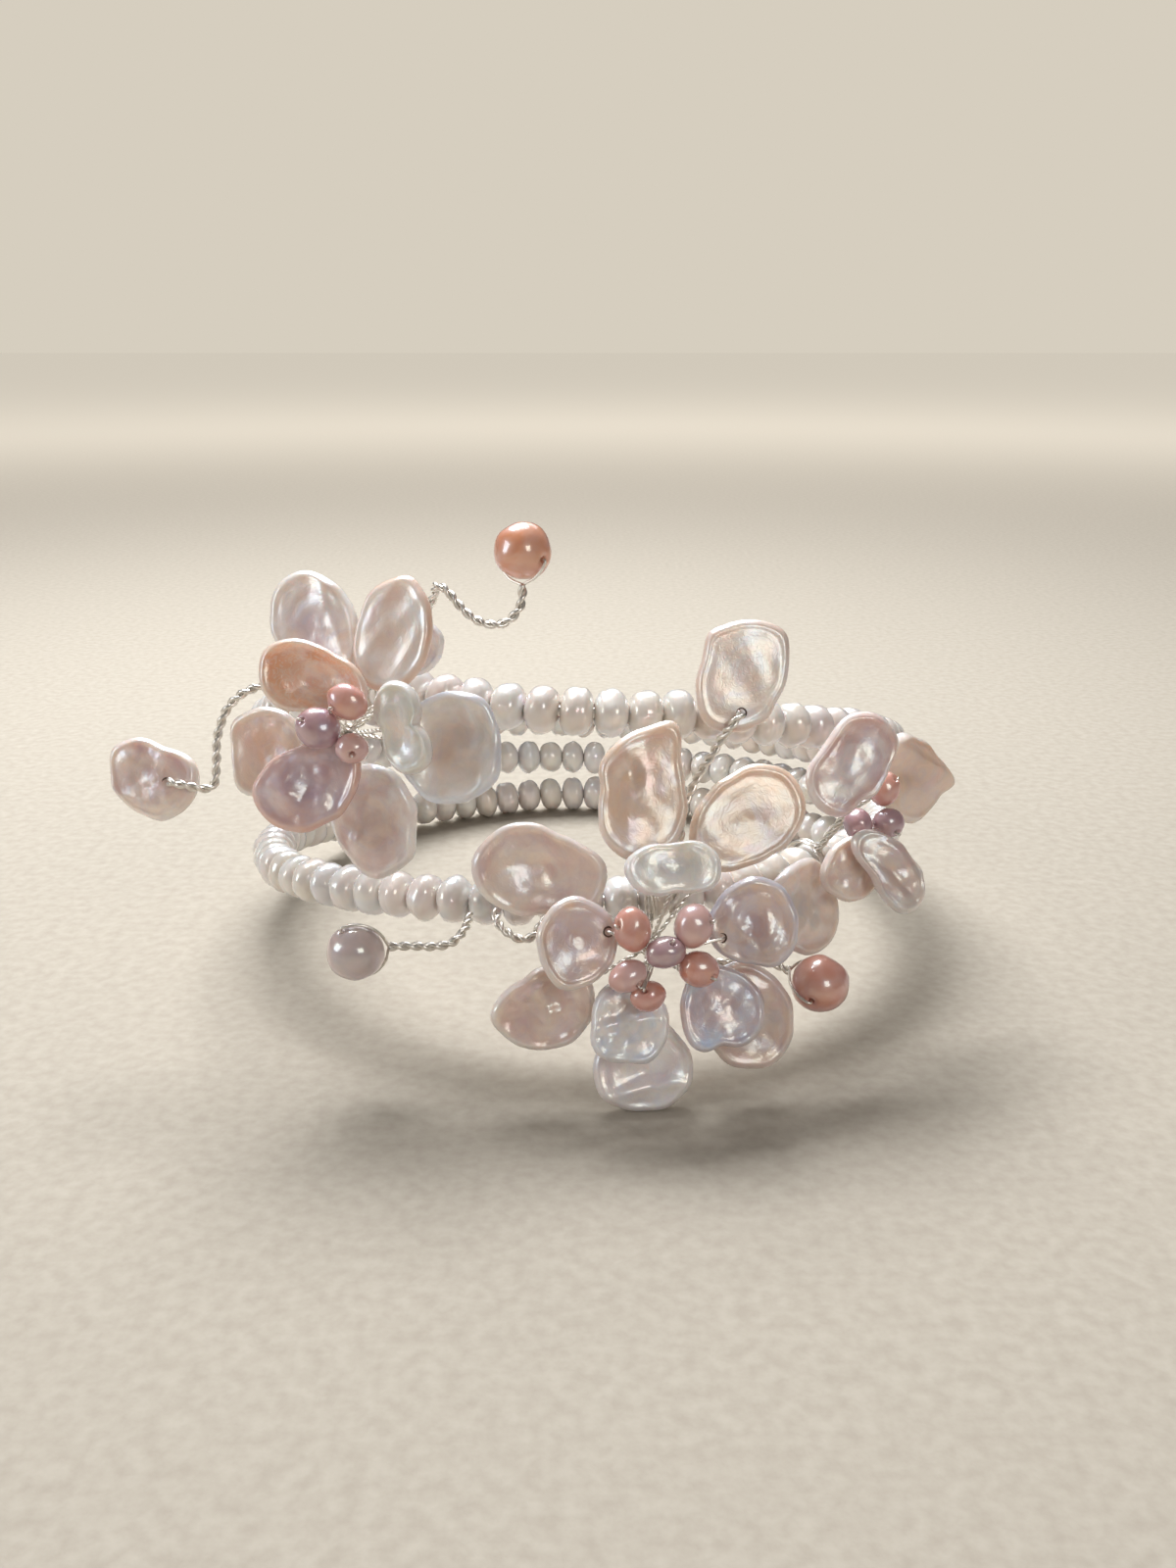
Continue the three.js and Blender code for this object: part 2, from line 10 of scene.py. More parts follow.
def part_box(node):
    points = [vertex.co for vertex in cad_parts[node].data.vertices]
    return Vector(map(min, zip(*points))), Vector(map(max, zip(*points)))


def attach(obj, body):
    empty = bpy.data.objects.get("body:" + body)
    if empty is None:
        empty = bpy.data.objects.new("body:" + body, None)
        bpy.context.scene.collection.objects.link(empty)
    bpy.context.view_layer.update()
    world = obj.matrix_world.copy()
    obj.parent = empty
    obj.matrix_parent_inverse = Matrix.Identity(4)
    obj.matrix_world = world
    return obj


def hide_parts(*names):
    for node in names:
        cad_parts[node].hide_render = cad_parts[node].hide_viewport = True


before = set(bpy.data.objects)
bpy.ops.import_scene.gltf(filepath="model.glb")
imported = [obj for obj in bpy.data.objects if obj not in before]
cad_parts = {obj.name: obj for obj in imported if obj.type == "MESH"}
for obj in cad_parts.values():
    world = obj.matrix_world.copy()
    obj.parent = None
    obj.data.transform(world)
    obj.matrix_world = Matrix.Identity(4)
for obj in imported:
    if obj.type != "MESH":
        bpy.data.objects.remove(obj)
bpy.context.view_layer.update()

MM = 0.001

# Sizes in millimetres, angles and turns in degrees
coil_radius = 29.5
coil_tilt = 9.6
bead_diameter = 4.0
bead_pitch = 2.65
row_gap = 0.3
split_turn = 450
spring_wire_diameter = 0.9

# Stems: the wire, how far it lies from the middle in wire diameters, and the length of a full twist
strand_diameter = 0.36
strand_spread = 0.52
stem_lay = 1.9

# Wires of a flower: round the string, up the post, out to the petals and to the small pearls
fine_wire_diameter = 0.22
winding_rounds = 4
winding_width = 0.9
winding_gap = 0.14
post_strands = 4
post_lay = 3.2
top_lay = 3.0
knot_radius = 0.6
arm_wire_diameter = 0.18
arm_spread = 0.1
arm_lay = 1.3
pearl_wire_diameter = 0.16

# Pearls and petals: swell closes the gap between small pearls, roll thickens a petal's rim
hole_diameter = 0.5
centre_pearl_swell = 1.15
rim_roll = 0.16
back_dent_share = 0.6
growth_line_angle = 26

# The string's route round the coil: turn in degrees, radius as a share of coil_radius, rise in rows
string_route = [
    (12, 1, -0.52), (30, 1, -0.39), (60, 1, -0.17), (90, 1, 0), (122, 1, -0.17),
    (150, 1, -0.19), (180, 1, -0.07), (212, 1, -0.05), (240, 1, 0.05), (258, 1, 0.08),
    (285, 1, 0.19), (315, 1, 0.49), (345, 1, 0.61), (365, 1, 0.62), (390, 1, 0.67),
    (420, 1, 0.85), (450, 1, 1.0), (482, 1, 1.15), (510, 1, 1.75), (540, 1, 2.51),
    (575, 0.99, 3.49), (600, 0.98, 3.88), (618, 0.99, 3.68), (633, 1, 3.57), (645, 1, 3.51),
    (660, 1, 3.3), (681, 1, 2.98), (700, 1, 2.6), (720, 1, 2.14), (750, 1, 1.72),
    (780, 1, 1.87), (810, 1, 2.02), (842, 1, 2.2), (870, 1, 2.8), (893, 1, 3.5),
]

# Each flower's seat on the string, the way it faces, where its wires meet and how high they twist
flower_seats = {
    "flower_1": dict(turn=600, out=6.7, rise=-2.7, azimuth=258, heart=(0, 0, -1.6), knot_top=-1.6),
    "flower_2": dict(turn=280.4, out=6.4, rise=-2.1, azimuth=275, heart=(-0.8, -0.3, -1.6), knot_top=2.4),
    "flower_3": dict(turn=310, out=6.9, rise=5.2, azimuth=288, heart=(-1.0, 0.3, -2.2), knot_top=-2.2),
}
flower_elevation = 18

# Twisted stems, as points in their flower's own frame
stems = {
    "top_sprig_stem": ("flower_1", [
        (3.0, 2.0, -2.8), (4.0, 5.4, -2.8), (4.9, 8.6, -2.4), (6.2, 10.7, -1.4), (6.7, 11.4, -0.3),
        (7.6, 11.1, 0), (8.6, 10.1, 0), (9.7, 9.2, 0), (11.0, 8.7, 0), (12.4, 8.9, 0), (13.4, 10.1, 0),
        (13.5, 11.7, 0),
    ]),
    "left_sprig_stem": ("flower_1", [
        (-1.7, 0.6, -2.4), (-4.2, 2.6, -2.6), (-6.4, 3.2, -0.6), (-7.9, 2.7, 0), (-9.1, 1.7, 0),
        (-9.8, 0.3, 0), (-10.1, -1.4, 0), (-10.0, -3.2, 0), (-10.1, -4.7, 0.1), (-10.9, -5.0, 0.5),
        (-11.9, -4.8, 1.3), (-13.2, -4.6, 1.5),
    ]),
    "middle_sprig_stem": ("flower_2", [
        (1.2, 1.7, -2.7), (1.7, 5.0, -2.7), (2.2, 9.6, -2.5), (2.9, 11.7, -1.8), (3.5, 12.9, -1.1),
        (4.2, 14.1, -0.2), (4.8, 15.2, 0.6), (5.4, 16.2, 1.8), (6.1, 17.0, 2.0),
    ]),
    "lower_sprig_stem": ("flower_2", [
        (-14.2, 2.2, -5.2), (-14.6, 1.3, -3.6), (-15.6, 0.4, -2.7), (-17.0, 0.2, -2.5),
        (-18.6, 0.3, -2.5), (-20.3, 0.3, -2.5),
    ]),
    "right_sprig_stem": ("flower_2", [
        (0.9, -1.5, -2.7), (4.4, -1.9, -3.0), (7.2, -1.8, -2.5), (8.8, -2.0, -1.6), (9.7, -2.4, -0.7),
    ]),
    "front_wire_loop": ("flower_2", [
        (-12.3, 2.5, -4.9), (-12.0, 1.6, -3.4), (-11.2, 0.9, -2.6), (-10.2, 0.5, -2.3),
        (-9.3, 0.9, -2.3), (-8.4, 2.0, -2.5), (-6.0, 2.2, -2.9), (-2.8, 1.0, -3.1),
    ]),
}

# Colours of nacre
nacre_colours = {
    "white": "ece5e1", "cream": "e2cebf", "beige": "d3b9a9", "peach": "d99f78", "gold": "d6ad8a",
    "rose": "c8a49e", "lilac": "cbbcc4", "mauve": "ae8c94", "grey": "cbc2bc", "blue": "c0cbe0",
    "coral": "d08a74", "pink": "d3a49b", "green": "cdcabd", "apricot": "dc9268", "ash": "c0afab",
    "plum": "aa8189",
}

# How each petal looks: inner, outer, cloud and rim colours, where the rim colour is the rim's own tone
# mixed with a painted highlight of light through the thin edge; wave is the depth of its dents in
# millimetres and streaks their direction in degrees. Ridges are (direction, place, height, width)
# and hollows (across, along, depth, radius), places in half petal sizes and heights in millimetres.
# Creases are ridges with directions counted from the flower's right, as edges have them.
# Edges are (direction, reach, half width): how far the outline stands out there, in millimetres, and
# over how many degrees. Lines is the strength of growth lines in the colour, rings counts those in
# the surface, and harmonics is how many waves of the solid's outline the petal keeps.
petal_looks = {
    "flower_1_petal_1": dict(tones="lilac white beige white", wave=0.14,
        creases=[(115, -0.45, 0.35, 0.16), (60, 0.3, 0.2, 0.2)],
        edges=[(135, 0.5, 25), (75, -0.25, 25), (15, 0.2, 20)]),
    "flower_1_petal_2": dict(tones="cream white beige peach", wave=0.12, streaks=90,
        ridges=[(80, 0.2, 0.22, 0.2), (95, -0.45, 0.15, 0.15)], edges=[(75, 0.45, 14), (140, -0.25, 30)]),
    "flower_1_petal_3": dict(tones="beige white lilac white", wave=0.1),
    "flower_1_petal_4": dict(tones="peach peach cream white", wave=0.12, rings=3, lines=0.55,
        hollows=[(0.1, 0, 0.5, 0.45)], creases=[(20, 0.4, 0.2, 0.2)],
        edges=[(150, 0.25, 25), (330, 0.3, 18)]),
    "flower_1_petal_5": dict(tones="peach cream beige white", wave=0.12,
        edges=[(150, 0.35, 20), (230, 0.35, 20)]),
    "flower_1_petal_6": dict(tones="mauve rose lilac peach", wave=0.34,
        creases=[(75, 0.2, 0.3, 0.26), (100, -0.4, 0.3, 0.2)], hollows=[(0.3, 0.3, -0.3, 0.25)],
        edges=[(200, 0.25, 25), (100, -0.25, 30), (320, 0.3, 20)]),
    "flower_1_petal_7": dict(tones="beige white rose white", wave=0.24,
        creases=[(85, 0.1, 0.4, 0.16), (100, -0.5, 0.25, 0.2)],
        edges=[(275, 0.35, 18), (322, 0.4, 15), (230, -0.35, 25)]),
    "flower_1_petal_8": dict(tones="cream green white white", wave=0.1, hollows=[(0.3, 0, 0.45, 0.5)],
        edges=[(15, -0.55, 25), (310, 0.4, 25), (100, 0.3, 25)]),
    "flower_1_petal_9": dict(tones="beige white grey blue", wave=0.26,
        hollows=[(0, -0.3, 0.6, 0.4), (-0.4, 0.4, 0.5, 0.3)], creases=[(100, -0.5, 0.5, 0.18)],
        edges=[(330, 0.3, 25), (250, 0.2, 20), (60, 0.15, 20)]),
    "flower_2_petal_1": dict(tones="beige cream gold cream", wave=0.12, hollows=[(-0.2, 0.35, -0.35, 0.22)],
        ridges=[(80, 0.3, 0.2, 0.2)],
        edges=[(62, 1.2, 15), (105, -0.3, 18), (150, 0.35, 18), (215, -0.3, 25), (330, 0.1, 30)]),
    "flower_2_petal_2": dict(tones="beige cream gold cream", wave=0.05, lines=0.3,
        creases=[(140, 0.5, 0.15, 0.35)], edges=[(40, 0.25, 30), (130, 0.25, 22)]),
    "flower_2_petal_3": dict(tones="cream cream rose white", wave=0.16, hollows=[(0, 0, 0.3, 0.6)],
        creases=[(10, 0.35, 0.25, 0.2)],
        edges=[(100, 0.3, 30), (30, -0.35, 20), (250, 0.25, 25), (185, 0.2, 20)]),
    "flower_2_petal_4": dict(tones="grey white green white", wave=0.1, hollows=[(0, 0, 0.5, 0.5)],
        edges=[(180, 0.25, 20), (340, 0.3, 20)]),
    "flower_2_petal_5": dict(tones="rose beige lilac white", wave=0.08, hollows=[(0, 0, 0.25, 0.5)],
        edges=[(135, -0.2, 25), (250, 0.25, 25)]),
    "flower_2_petal_6": dict(tones="beige cream rose white", wave=0.3,
        creases=[(120, 0.1, 0.4, 0.2), (150, -0.5, 0.2, 0.15)],
        edges=[(190, 0.4, 22), (300, 0.3, 25), (130, -0.3, 25)]),
    "flower_2_petal_7": dict(tones="grey white blue white", wave=0.24, ridges=[(30, 0.1, 0.4, 0.15)],
        edges=[(230, 0.3, 20), (300, 0.25, 20), (180, -0.2, 20)]),
    "flower_2_petal_8": dict(tones="white white lilac white", wave=0.1, creases=[(0, -0.5, 0.5, 0.15)],
        hollows=[(0, 0.1, 0.3, 0.4)]),
    "flower_2_petal_9": dict(tones="lilac blue rose beige", wave=0.18, ridges=[(85, 0.05, -0.25, 0.24)],
        edges=[(270, -0.4, 14), (235, 0.3, 18), (310, 0.3, 18)]),
    "flower_2_petal_10": dict(tones="grey beige rose white", wave=0.16,
        edges=[(300, 0.25, 20), (20, 0.2, 20)]),
    "flower_2_petal_11": dict(tones="rose beige lilac blue", wave=0.22, rings=4, lines=0.3,
        creases=[(130, 0.3, 0.3, 0.15), (110, -0.3, 0.3, 0.18)],
        edges=[(45, 0.1, 20), (265, -0.35, 30), (190, 0.3, 25)]),
    "flower_2_petal_12": dict(tones="grey cream beige white", wave=0.28, creases=[(70, 0.1, 0.3, 0.22)],
        edges=[(330, 0.35, 20), (60, 0.2, 20)]),
    "flower_3_petal_1": dict(tones="lilac rose white white", wave=0.14, creases=[(60, -0.15, 0.25, 0.25)],
        edges=[(0, -0.8, 25), (45, -0.4, 25), (225, -0.5, 30), (275, -0.6, 22), (330, -0.3, 20)]),
    "flower_3_petal_2": dict(tones="beige cream gold white", wave=0.08, creases=[(324, 0.33, 0.9, 0.3)],
        harmonics=2,
        edges=[(30, -0.6, 22), (80, -0.35, 25), (346, 0.75, 12), (270, 0.8, 28), (235, 0.7, 25)]),
    "flower_3_petal_3": dict(tones="beige cream rose white", wave=0.12, edges=[(200, 0.2, 20)]),
    "flower_3_petal_4": dict(tones="beige grey rose white", wave=0.12,
        creases=[(310, 0.3, 0.3, 0.2), (315, -0.25, -0.25, 0.15)],
        edges=[(138, 0.7, 20), (90, -0.4, 22), (330, -0.4, 24), (215, 0.3, 25)]),
    "left_sprig_petal": dict(tones="beige cream rose white", wave=0.14,
        creases=[(330, 0.05, 0.35, 0.18), (350, -0.5, 0.25, 0.15)],
        edges=[(150, 0.4, 18), (20, 0.35, 18), (75, -0.25, 20), (290, 0.25, 20)]),
    "middle_sprig_petal": dict(tones="cream white beige beige", wave=0.04,
        creases=[(115, -0.35, 0.15, 0.4)],
        edges=[(125, 0.45, 15), (42, 0.5, 15), (235, 0.35, 15), (300, 0.15, 16)]),
}

# Drill holes that show: direction from the petal's middle in degrees, and share of the way out
petal_holes = {
    "flower_2_petal_5": (15, 0.76),
    "flower_2_petal_11": (200, 0.8),
    "left_sprig_petal": (350, 0.4),
    "middle_sprig_petal": (266, 0.68),
}

# Round pearls: colour, the way the drill hole faces in the flower's own frame, the direction in
# degrees that it is longest in, and how much longer
pearl_looks = {
    "flower_1_centre_pearl_1": ("plum", (-0.5, 0.3, 0.8), 110, 1.15),
    "flower_1_centre_pearl_2": ("coral", (-0.6, -0.4, 0.6), 150, 1.2),
    "flower_1_centre_pearl_3": ("pink", (0.3, -0.4, 0.8), 0, 1.1),
    "flower_2_centre_pearl_1": ("coral", (-0.8, 0.2, 0.5), 95, 1.25),
    "flower_2_centre_pearl_2": ("pink", (0.8, 0.2, 0.5), 80, 1.2),
    "flower_2_centre_pearl_3": ("mauve", (0.3, 0.6, 0.7), 30, 1.1),
    "flower_2_centre_pearl_4": ("pink", (0.6, -0.5, 0.6), 35, 1.25),
    "flower_2_centre_pearl_5": ("coral", (-0.3, 0.5, 0.8), 10, 1.2),
    "flower_2_centre_pearl_6": ("coral", (0.6, -0.4, 0.6), 340, 1.12),
    "flower_3_centre_pearl_1": ("coral", (0.5, 0.5, 0.7), 70, 1.15),
    "flower_3_centre_pearl_2": ("plum", (-0.4, -0.6, 0.6), 90, 1.15),
    "flower_3_centre_pearl_3": ("plum", (0.2, -0.7, 0.7), 0, 1.1),
    "top_sprig_pearl": ("apricot", (0.85, -0.35, 0.4), 0, 1.0),
    "lower_sprig_pearl": ("ash", (-0.42, 0.78, 0.45), 0, 1.0),
    "right_sprig_pearl": ("coral", (-0.5, -0.5, 0.7), 0, 1.0),
}

# The flower that each sprig's pearl belongs to
pearl_flowers = {
    "top_sprig_pearl": "flower_1", "lower_sprig_pearl": "flower_2", "right_sprig_pearl": "flower_2",
}


def srgb(code):
    """A colour from its hexadecimal code, in linear light."""
    values = [int(code[i:i + 2], 16) / 255 for i in (0, 2, 4)]
    return tuple(v / 12.92 if v < 0.04045 else ((v + 0.055) / 1.055) ** 2.4 for v in values) + (1,)


def nacre_colour(name):
    return srgb(nacre_colours[name])


# Shader building

def new_material(name):
    material = bpy.data.materials.new(name)
    material.use_nodes = True
    tree = material.node_tree
    shader = tree.nodes["Principled BSDF"]
    return material, tree, shader


def feed(socket, value):
    """Link a socket to another node's output, or set it to a plain value."""
    if isinstance(value, bpy.types.NodeSocket):
        socket.id_data.links.new(value, socket)
    else:
        socket.default_value = value


def set_values(node, **values):
    for label, value in values.items():
        feed(node.inputs[label.replace("_", " ")], value)


def noise_node(tree, vector, scale, detail=2, distortion=0.0):
    node = tree.nodes.new("ShaderNodeTexNoise")
    set_values(node, Vector=vector, Scale=scale, Detail=detail, Distortion=distortion)
    return node.outputs["Fac"]


def ramp_node(tree, factor, stops):
    node = tree.nodes.new("ShaderNodeValToRGB")
    elements = node.color_ramp.elements
    while len(elements) < len(stops):
        elements.new(1.0)
    for element, (position, colour) in zip(elements, stops):
        element.position = position
        element.color = colour
    set_values(node, Fac=factor)
    return node.outputs["Color"]


def mix_node(tree, factor, a, b, kind="MIX"):
    node = tree.nodes.new("ShaderNodeMix")
    node.data_type = "RGBA"
    node.blend_type = kind
    for socket, value in ((node.inputs["Factor"], factor), (node.inputs[6], a), (node.inputs[7], b)):
        feed(socket, value)
    return node.outputs[2]


def math_node(tree, operation, *values):
    node = tree.nodes.new("ShaderNodeMath")
    node.operation = operation
    for socket, value in zip(node.inputs, values):
        feed(socket, value)
    return node.outputs[0]


def mix_shaders(tree, share, first, second, output):
    """Join two shaders at an output, with the second's share."""
    both = tree.nodes.new("ShaderNodeMixShader")
    for socket, value in zip(both.inputs, (share, first, second)):
        feed(socket, value)
    set_values(tree.nodes[output], Surface=both.outputs["Shader"])


def mask_node(tree, factor, start, end, top=1.0):
    """Grey that rises from black to top between two values of a factor."""
    return ramp_node(tree, factor, [(start, (0, 0, 0, 1)), (end, (top, top, top, 1))])


def attribute_node(tree, name):
    node = tree.nodes.new("ShaderNodeAttribute")
    node.attribute_name = name
    return node


def vary_roughness(tree, shader, pattern, least, spread):
    """Roughness that is least where a pattern is 0, and more by spread where it is 1."""
    set_values(shader, Roughness=math_node(tree, "MULTIPLY_ADD", pattern, spread, least))


def bump_node(tree, shaders, height, strength, distance):
    node = tree.nodes.new("ShaderNodeBump")
    set_values(node, Height=height, Strength=strength, Distance=distance)
    for shader in shaders:
        set_values(shader, Normal=node.outputs["Normal"])


def object_place(tree):
    return tree.nodes.new("ShaderNodeTexCoord").outputs["Object"]


def pearl_surface(tree, shader, place, scale, film, depth, orient_share, coat=0.5):
    """Nacre: light that enters a little way, a clear coat, and a faint coloured gleam over it."""
    set_values(
        shader, IOR=1.52, Subsurface_Weight=depth, Subsurface_Scale=0.0016,
        Coat_Weight=coat, Coat_Roughness=0.14 - coat * 0.09, Coat_IOR=1.55,
        Thin_Film_IOR=1.44,
    )
    uneven = noise_node(tree, place, scale=scale * 0.8, distortion=0.5)
    film_spread = 220
    layers = math_node(tree, "MULTIPLY_ADD", uneven, film_spread, film)
    set_values(shader, Thin_Film_Thickness=layers, Subsurface_Radius=(1.0, 0.72, 0.55))
    gleam = tree.nodes.new("ShaderNodeBsdfGlossy")
    orient = ramp_node(tree, noise_node(tree, place, scale=scale, distortion=1.0), [
        (0.3, srgb("f4dfe0")), (0.42, srgb("f7efe6")), (0.5, srgb("eef0f0")), (0.6, srgb("cfe0fa")),
        (0.72, srgb("e2d9f4")),
    ])
    set_values(gleam, Color=orient, Roughness=0.33)
    mix_shaders(tree, orient_share, shader.outputs["BSDF"], gleam.outputs["BSDF"], "Material Output")
    return gleam


def bead_material():
    """Cream button pearls: each bead has its own tone, with clouded nacre and faint pits."""
    material, tree, shader = new_material("bead_nacre")
    place = object_place(tree)
    tone = attribute_node(tree, "tone").outputs["Fac"]
    base = ramp_node(tree, tone, [
        (0.0, srgb("e9e1d7")), (0.3, srgb("ece9e3")), (0.55, srgb("e6dccf")),
        (0.75, srgb("e9ddd7")), (1.0, srgb("e8e6e2")),
    ])
    cloud = noise_node(tree, place, scale=420, detail=3, distortion=0.6)
    clouded = mix_node(tree, math_node(tree, "MULTIPLY", cloud, 0.35), base, srgb("e6dcda"))
    set_values(shader, Base_Color=clouded)
    gleam = pearl_surface(tree, shader, place, scale=260, film=290, depth=0.25, orient_share=0.16, coat=1)
    fine = noise_node(tree, place, scale=1100, detail=4)
    bump_node(tree, [shader, gleam], fine, strength=0.16, distance=0.0003)
    vary_roughness(tree, shader, cloud, least=0.06, spread=0.12)
    return material


def petal_material(name, look):
    """Flat pearl: inner to outer tone, clouds, painted glints, growth rings and a brighter rim, the rim's
    own tone mixed with a painted highlight of light through the thin edge.
    """
    inner, outer, cloud_tone, rim_tone_and_glow = (nacre_colour(tone) for tone in look["tones"].split())
    material, tree, shader = new_material(name)
    place = attribute_node(tree, "petal_place").outputs["Vector"]
    split = tree.nodes.new("ShaderNodeSeparateXYZ")
    set_values(split, Vector=place)
    share = split.outputs["Z"]
    spread = noise_node(tree, place, scale=1.1, distortion=0.5)
    wander = math_node(tree, "MULTIPLY", math_node(tree, "SUBTRACT", spread, 0.5), 0.9)
    wandering = math_node(tree, "ADD", share, wander)
    body = ramp_node(tree, wandering, [(0.15, inner), (0.75, outer)])
    patches = mask_node(tree, noise_node(tree, place, scale=1.3, distortion=0.7), 0.4, 0.72, 0.8)
    clouded = mix_node(tree, patches, body, cloud_tone)
    # Painted glints: pale pink, cream, blue and lilac tints laid over the colour by soft light, standing
    # for coloured highlights of the nacre
    painted_glints = ramp_node(tree, noise_node(tree, place, scale=1.9, distortion=1.4), [
        (0.3, srgb("eadfe0")), (0.45, srgb("f4efe6")), (0.58, srgb("e2eaf0")), (0.72, srgb("e9e2ec")),
    ])
    lively = mix_node(tree, 0.35, clouded, painted_glints, "SOFT_LIGHT")
    # Painted highlight: the rim goes halfway to the rim colour, for light through the thin edge as well as
    # the rim's own tone
    rim = mask_node(tree, share, 0.84, 0.96)
    tone_with_rim_glow = mix_node(tree, math_node(tree, "MULTIPLY", rim, 0.5), lively, rim_tone_and_glow)
    ripple = noise_node(tree, place, scale=6.0, distortion=0.6)
    rippled = math_node(tree, "ADD", wandering, ripple)
    lines = math_node(tree, "SINE", math_node(tree, "MULTIPLY", rippled, growth_line_angle))
    lined = math_node(tree, "MULTIPLY", math_node(tree, "MAXIMUM", lines, 0.0), look.get("lines", 0.1))
    set_values(shader, Base_Color=mix_node(tree, lined, tone_with_rim_glow, cloud_tone))
    broad = noise_node(tree, place, scale=1.9, detail=1, distortion=0.4)
    height = math_node(tree, "MULTIPLY", lines, 0.02)
    height = math_node(tree, "MULTIPLY_ADD", ripple, 0.12, height)
    height = math_node(tree, "MULTIPLY_ADD", broad, 0.4, height)
    gleam = pearl_surface(tree, shader, place, scale=1.7, film=270, depth=0.45, orient_share=0.15)
    bump_node(tree, [shader, gleam], height, strength=0.3, distance=0.0004)
    vary_roughness(tree, shader, patches, least=0.22, spread=0.12)
    return material


def round_pearl_material(tone):
    """Small coloured pearl with a paler bloom."""
    material, tree, shader = new_material(f"{tone}_pearl_nacre")
    place = object_place(tree)
    cloud = mask_node(tree, noise_node(tree, place, scale=520, detail=3, distortion=1.0), 0.35, 0.75)
    bloom = mix_node(tree, math_node(tree, "MULTIPLY", cloud, 0.4), nacre_colour(tone), srgb("e8c8c2"))
    set_values(shader, Base_Color=bloom, Roughness=0.14)
    gleam = pearl_surface(tree, shader, place, scale=420, film=270, depth=0.2, orient_share=0.12, coat=1)
    fine = noise_node(tree, place, scale=1000, detail=3)
    bump_node(tree, [shader, gleam], fine, strength=0.14, distance=0.0002)
    return material


def wire_material():
    """Silver wire, slightly warm, with drawing marks."""
    material, tree, shader = new_material("silver_wire")
    place = object_place(tree)
    marks = noise_node(tree, place, scale=2600, detail=3)
    shade = ramp_node(tree, marks, [(0.3, srgb("d9d4cc")), (0.7, srgb("f1ede6"))])
    vary_roughness(tree, shader, marks, least=0.22, spread=0.2)
    set_values(shader, Base_Color=shade, Metallic=1.0)
    bump_node(tree, [shader], marks, strength=0.1, distance=0.00005)
    return material


# The string

def route_value(turn, column):
    """One column of the string's route at a turn, on a smooth curve through the rows."""
    last = len(string_route) - 1
    k = 0
    while k < last - 1 and string_route[k + 1][0] < turn:
        k += 1

    def row(index):
        return string_route[min(max(index, 0), last)]

    def slope(index):
        before, after = row(index - 1), row(index + 1)
        return (after[column] - before[column]) / (after[0] - before[0])

    width = row(k + 1)[0] - row(k)[0]
    t = (turn - row(k)[0]) / width
    start = row(k)[column] * (1 + 2 * t) * (1 - t) ** 2 + slope(k) * width * t * (1 - t) ** 2
    end = row(k + 1)[column] * (3 - 2 * t) * t ** 2 + slope(k + 1) * width * (t - 1) * t ** 2
    return start + end


def coil_point(turn):
    """The middle of the string at a turn, in the coil's own frame."""
    radius = coil_radius * route_value(turn, 1)
    height = (bead_diameter + row_gap) * route_value(turn, 2)
    angle = radians(turn)
    return Vector((radius * cos(angle), radius * sin(angle), height))


coil_turning = Matrix.Rotation(-radians(coil_tilt), 3, "X")


def bead_turns():
    """Turns at equal steps along the string."""
    turn_step = 0.25
    turns = [string_route[0][0]]
    travelled = 0
    before = coil_point(turns[0])
    turn = turns[0] + turn_step
    while turn <= string_route[-1][0]:
        here = coil_point(turn)
        step = (here - before).length
        while travelled + step >= len(turns) * bead_pitch:
            turns.append(turn - turn_step * (travelled + step - len(turns) * bead_pitch) / step)
        travelled += step
        before = here
        turn += turn_step
    return turns


turns = bead_turns()
split = next(i for i, turn in enumerate(turns) if turn >= split_turn)


def node_corners(node):
    """The corners of a node's solid in millimetres, each once."""
    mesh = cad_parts[node].data
    corners = np.empty(len(mesh.vertices) * 3, np.float32)
    mesh.vertices.foreach_get("co", corners)
    return np.unique(np.round(corners.reshape(-1, 3) / MM, 3), axis=0)


def coil_place():
    """Where the coil's own frame lies, from the mean of the lower string's corners.

    The solid has a ring of corners at each neck between beads and two rings about each bead's middle.
    """
    necks = turns[:split + 1]
    middles = [(a + b) / 2 for a, b in zip(necks, necks[1:])]
    points = [coil_turning @ coil_point(turn) for turn in necks + middles + middles]
    middle = sum(points, Vector()) / len(points)
    return Vector(node_corners("lower_bead_string").mean(axis=0)) - middle


coil_at = coil_place()


def string_point(turn):
    """The middle of the string at a turn, in place."""
    return coil_turning @ coil_point(turn) + coil_at


def string_way(turn):
    return (string_point(turn + 1) - string_point(turn - 1)).normalized()


def flower_frame(seat):
    """A flower's axes and its middle: x to its right, y up its face, z out of it."""
    azimuth = radians(seat["azimuth"])
    elevation = radians(flower_elevation)
    level = cos(elevation)
    out = Vector((cos(azimuth) * level, sin(azimuth) * level, sin(elevation)))
    across = Vector((-sin(azimuth), cos(azimuth), 0))
    up = out.cross(across)
    middle = coil_point(seat["turn"])
    middle += Vector((middle.x, middle.y, 0)).normalized() * seat["out"]
    middle.z += seat["rise"]
    axes = Matrix((across, up, out)).transposed()
    return axes, coil_turning @ middle + coil_at


flowers = {name: flower_frame(seat) for name, seat in flower_seats.items()}


def in_flower(name, point):
    axes, middle = flowers[name]
    return axes @ Vector(point) + middle


# Meshes

def heading(side, other, angle):
    """The direction at an angle from one side towards the other."""
    return side * cos(angle) + other * sin(angle)


def new_object(name, data):
    thing = bpy.data.objects.new(name, data)
    bpy.context.collection.objects.link(thing)
    return thing


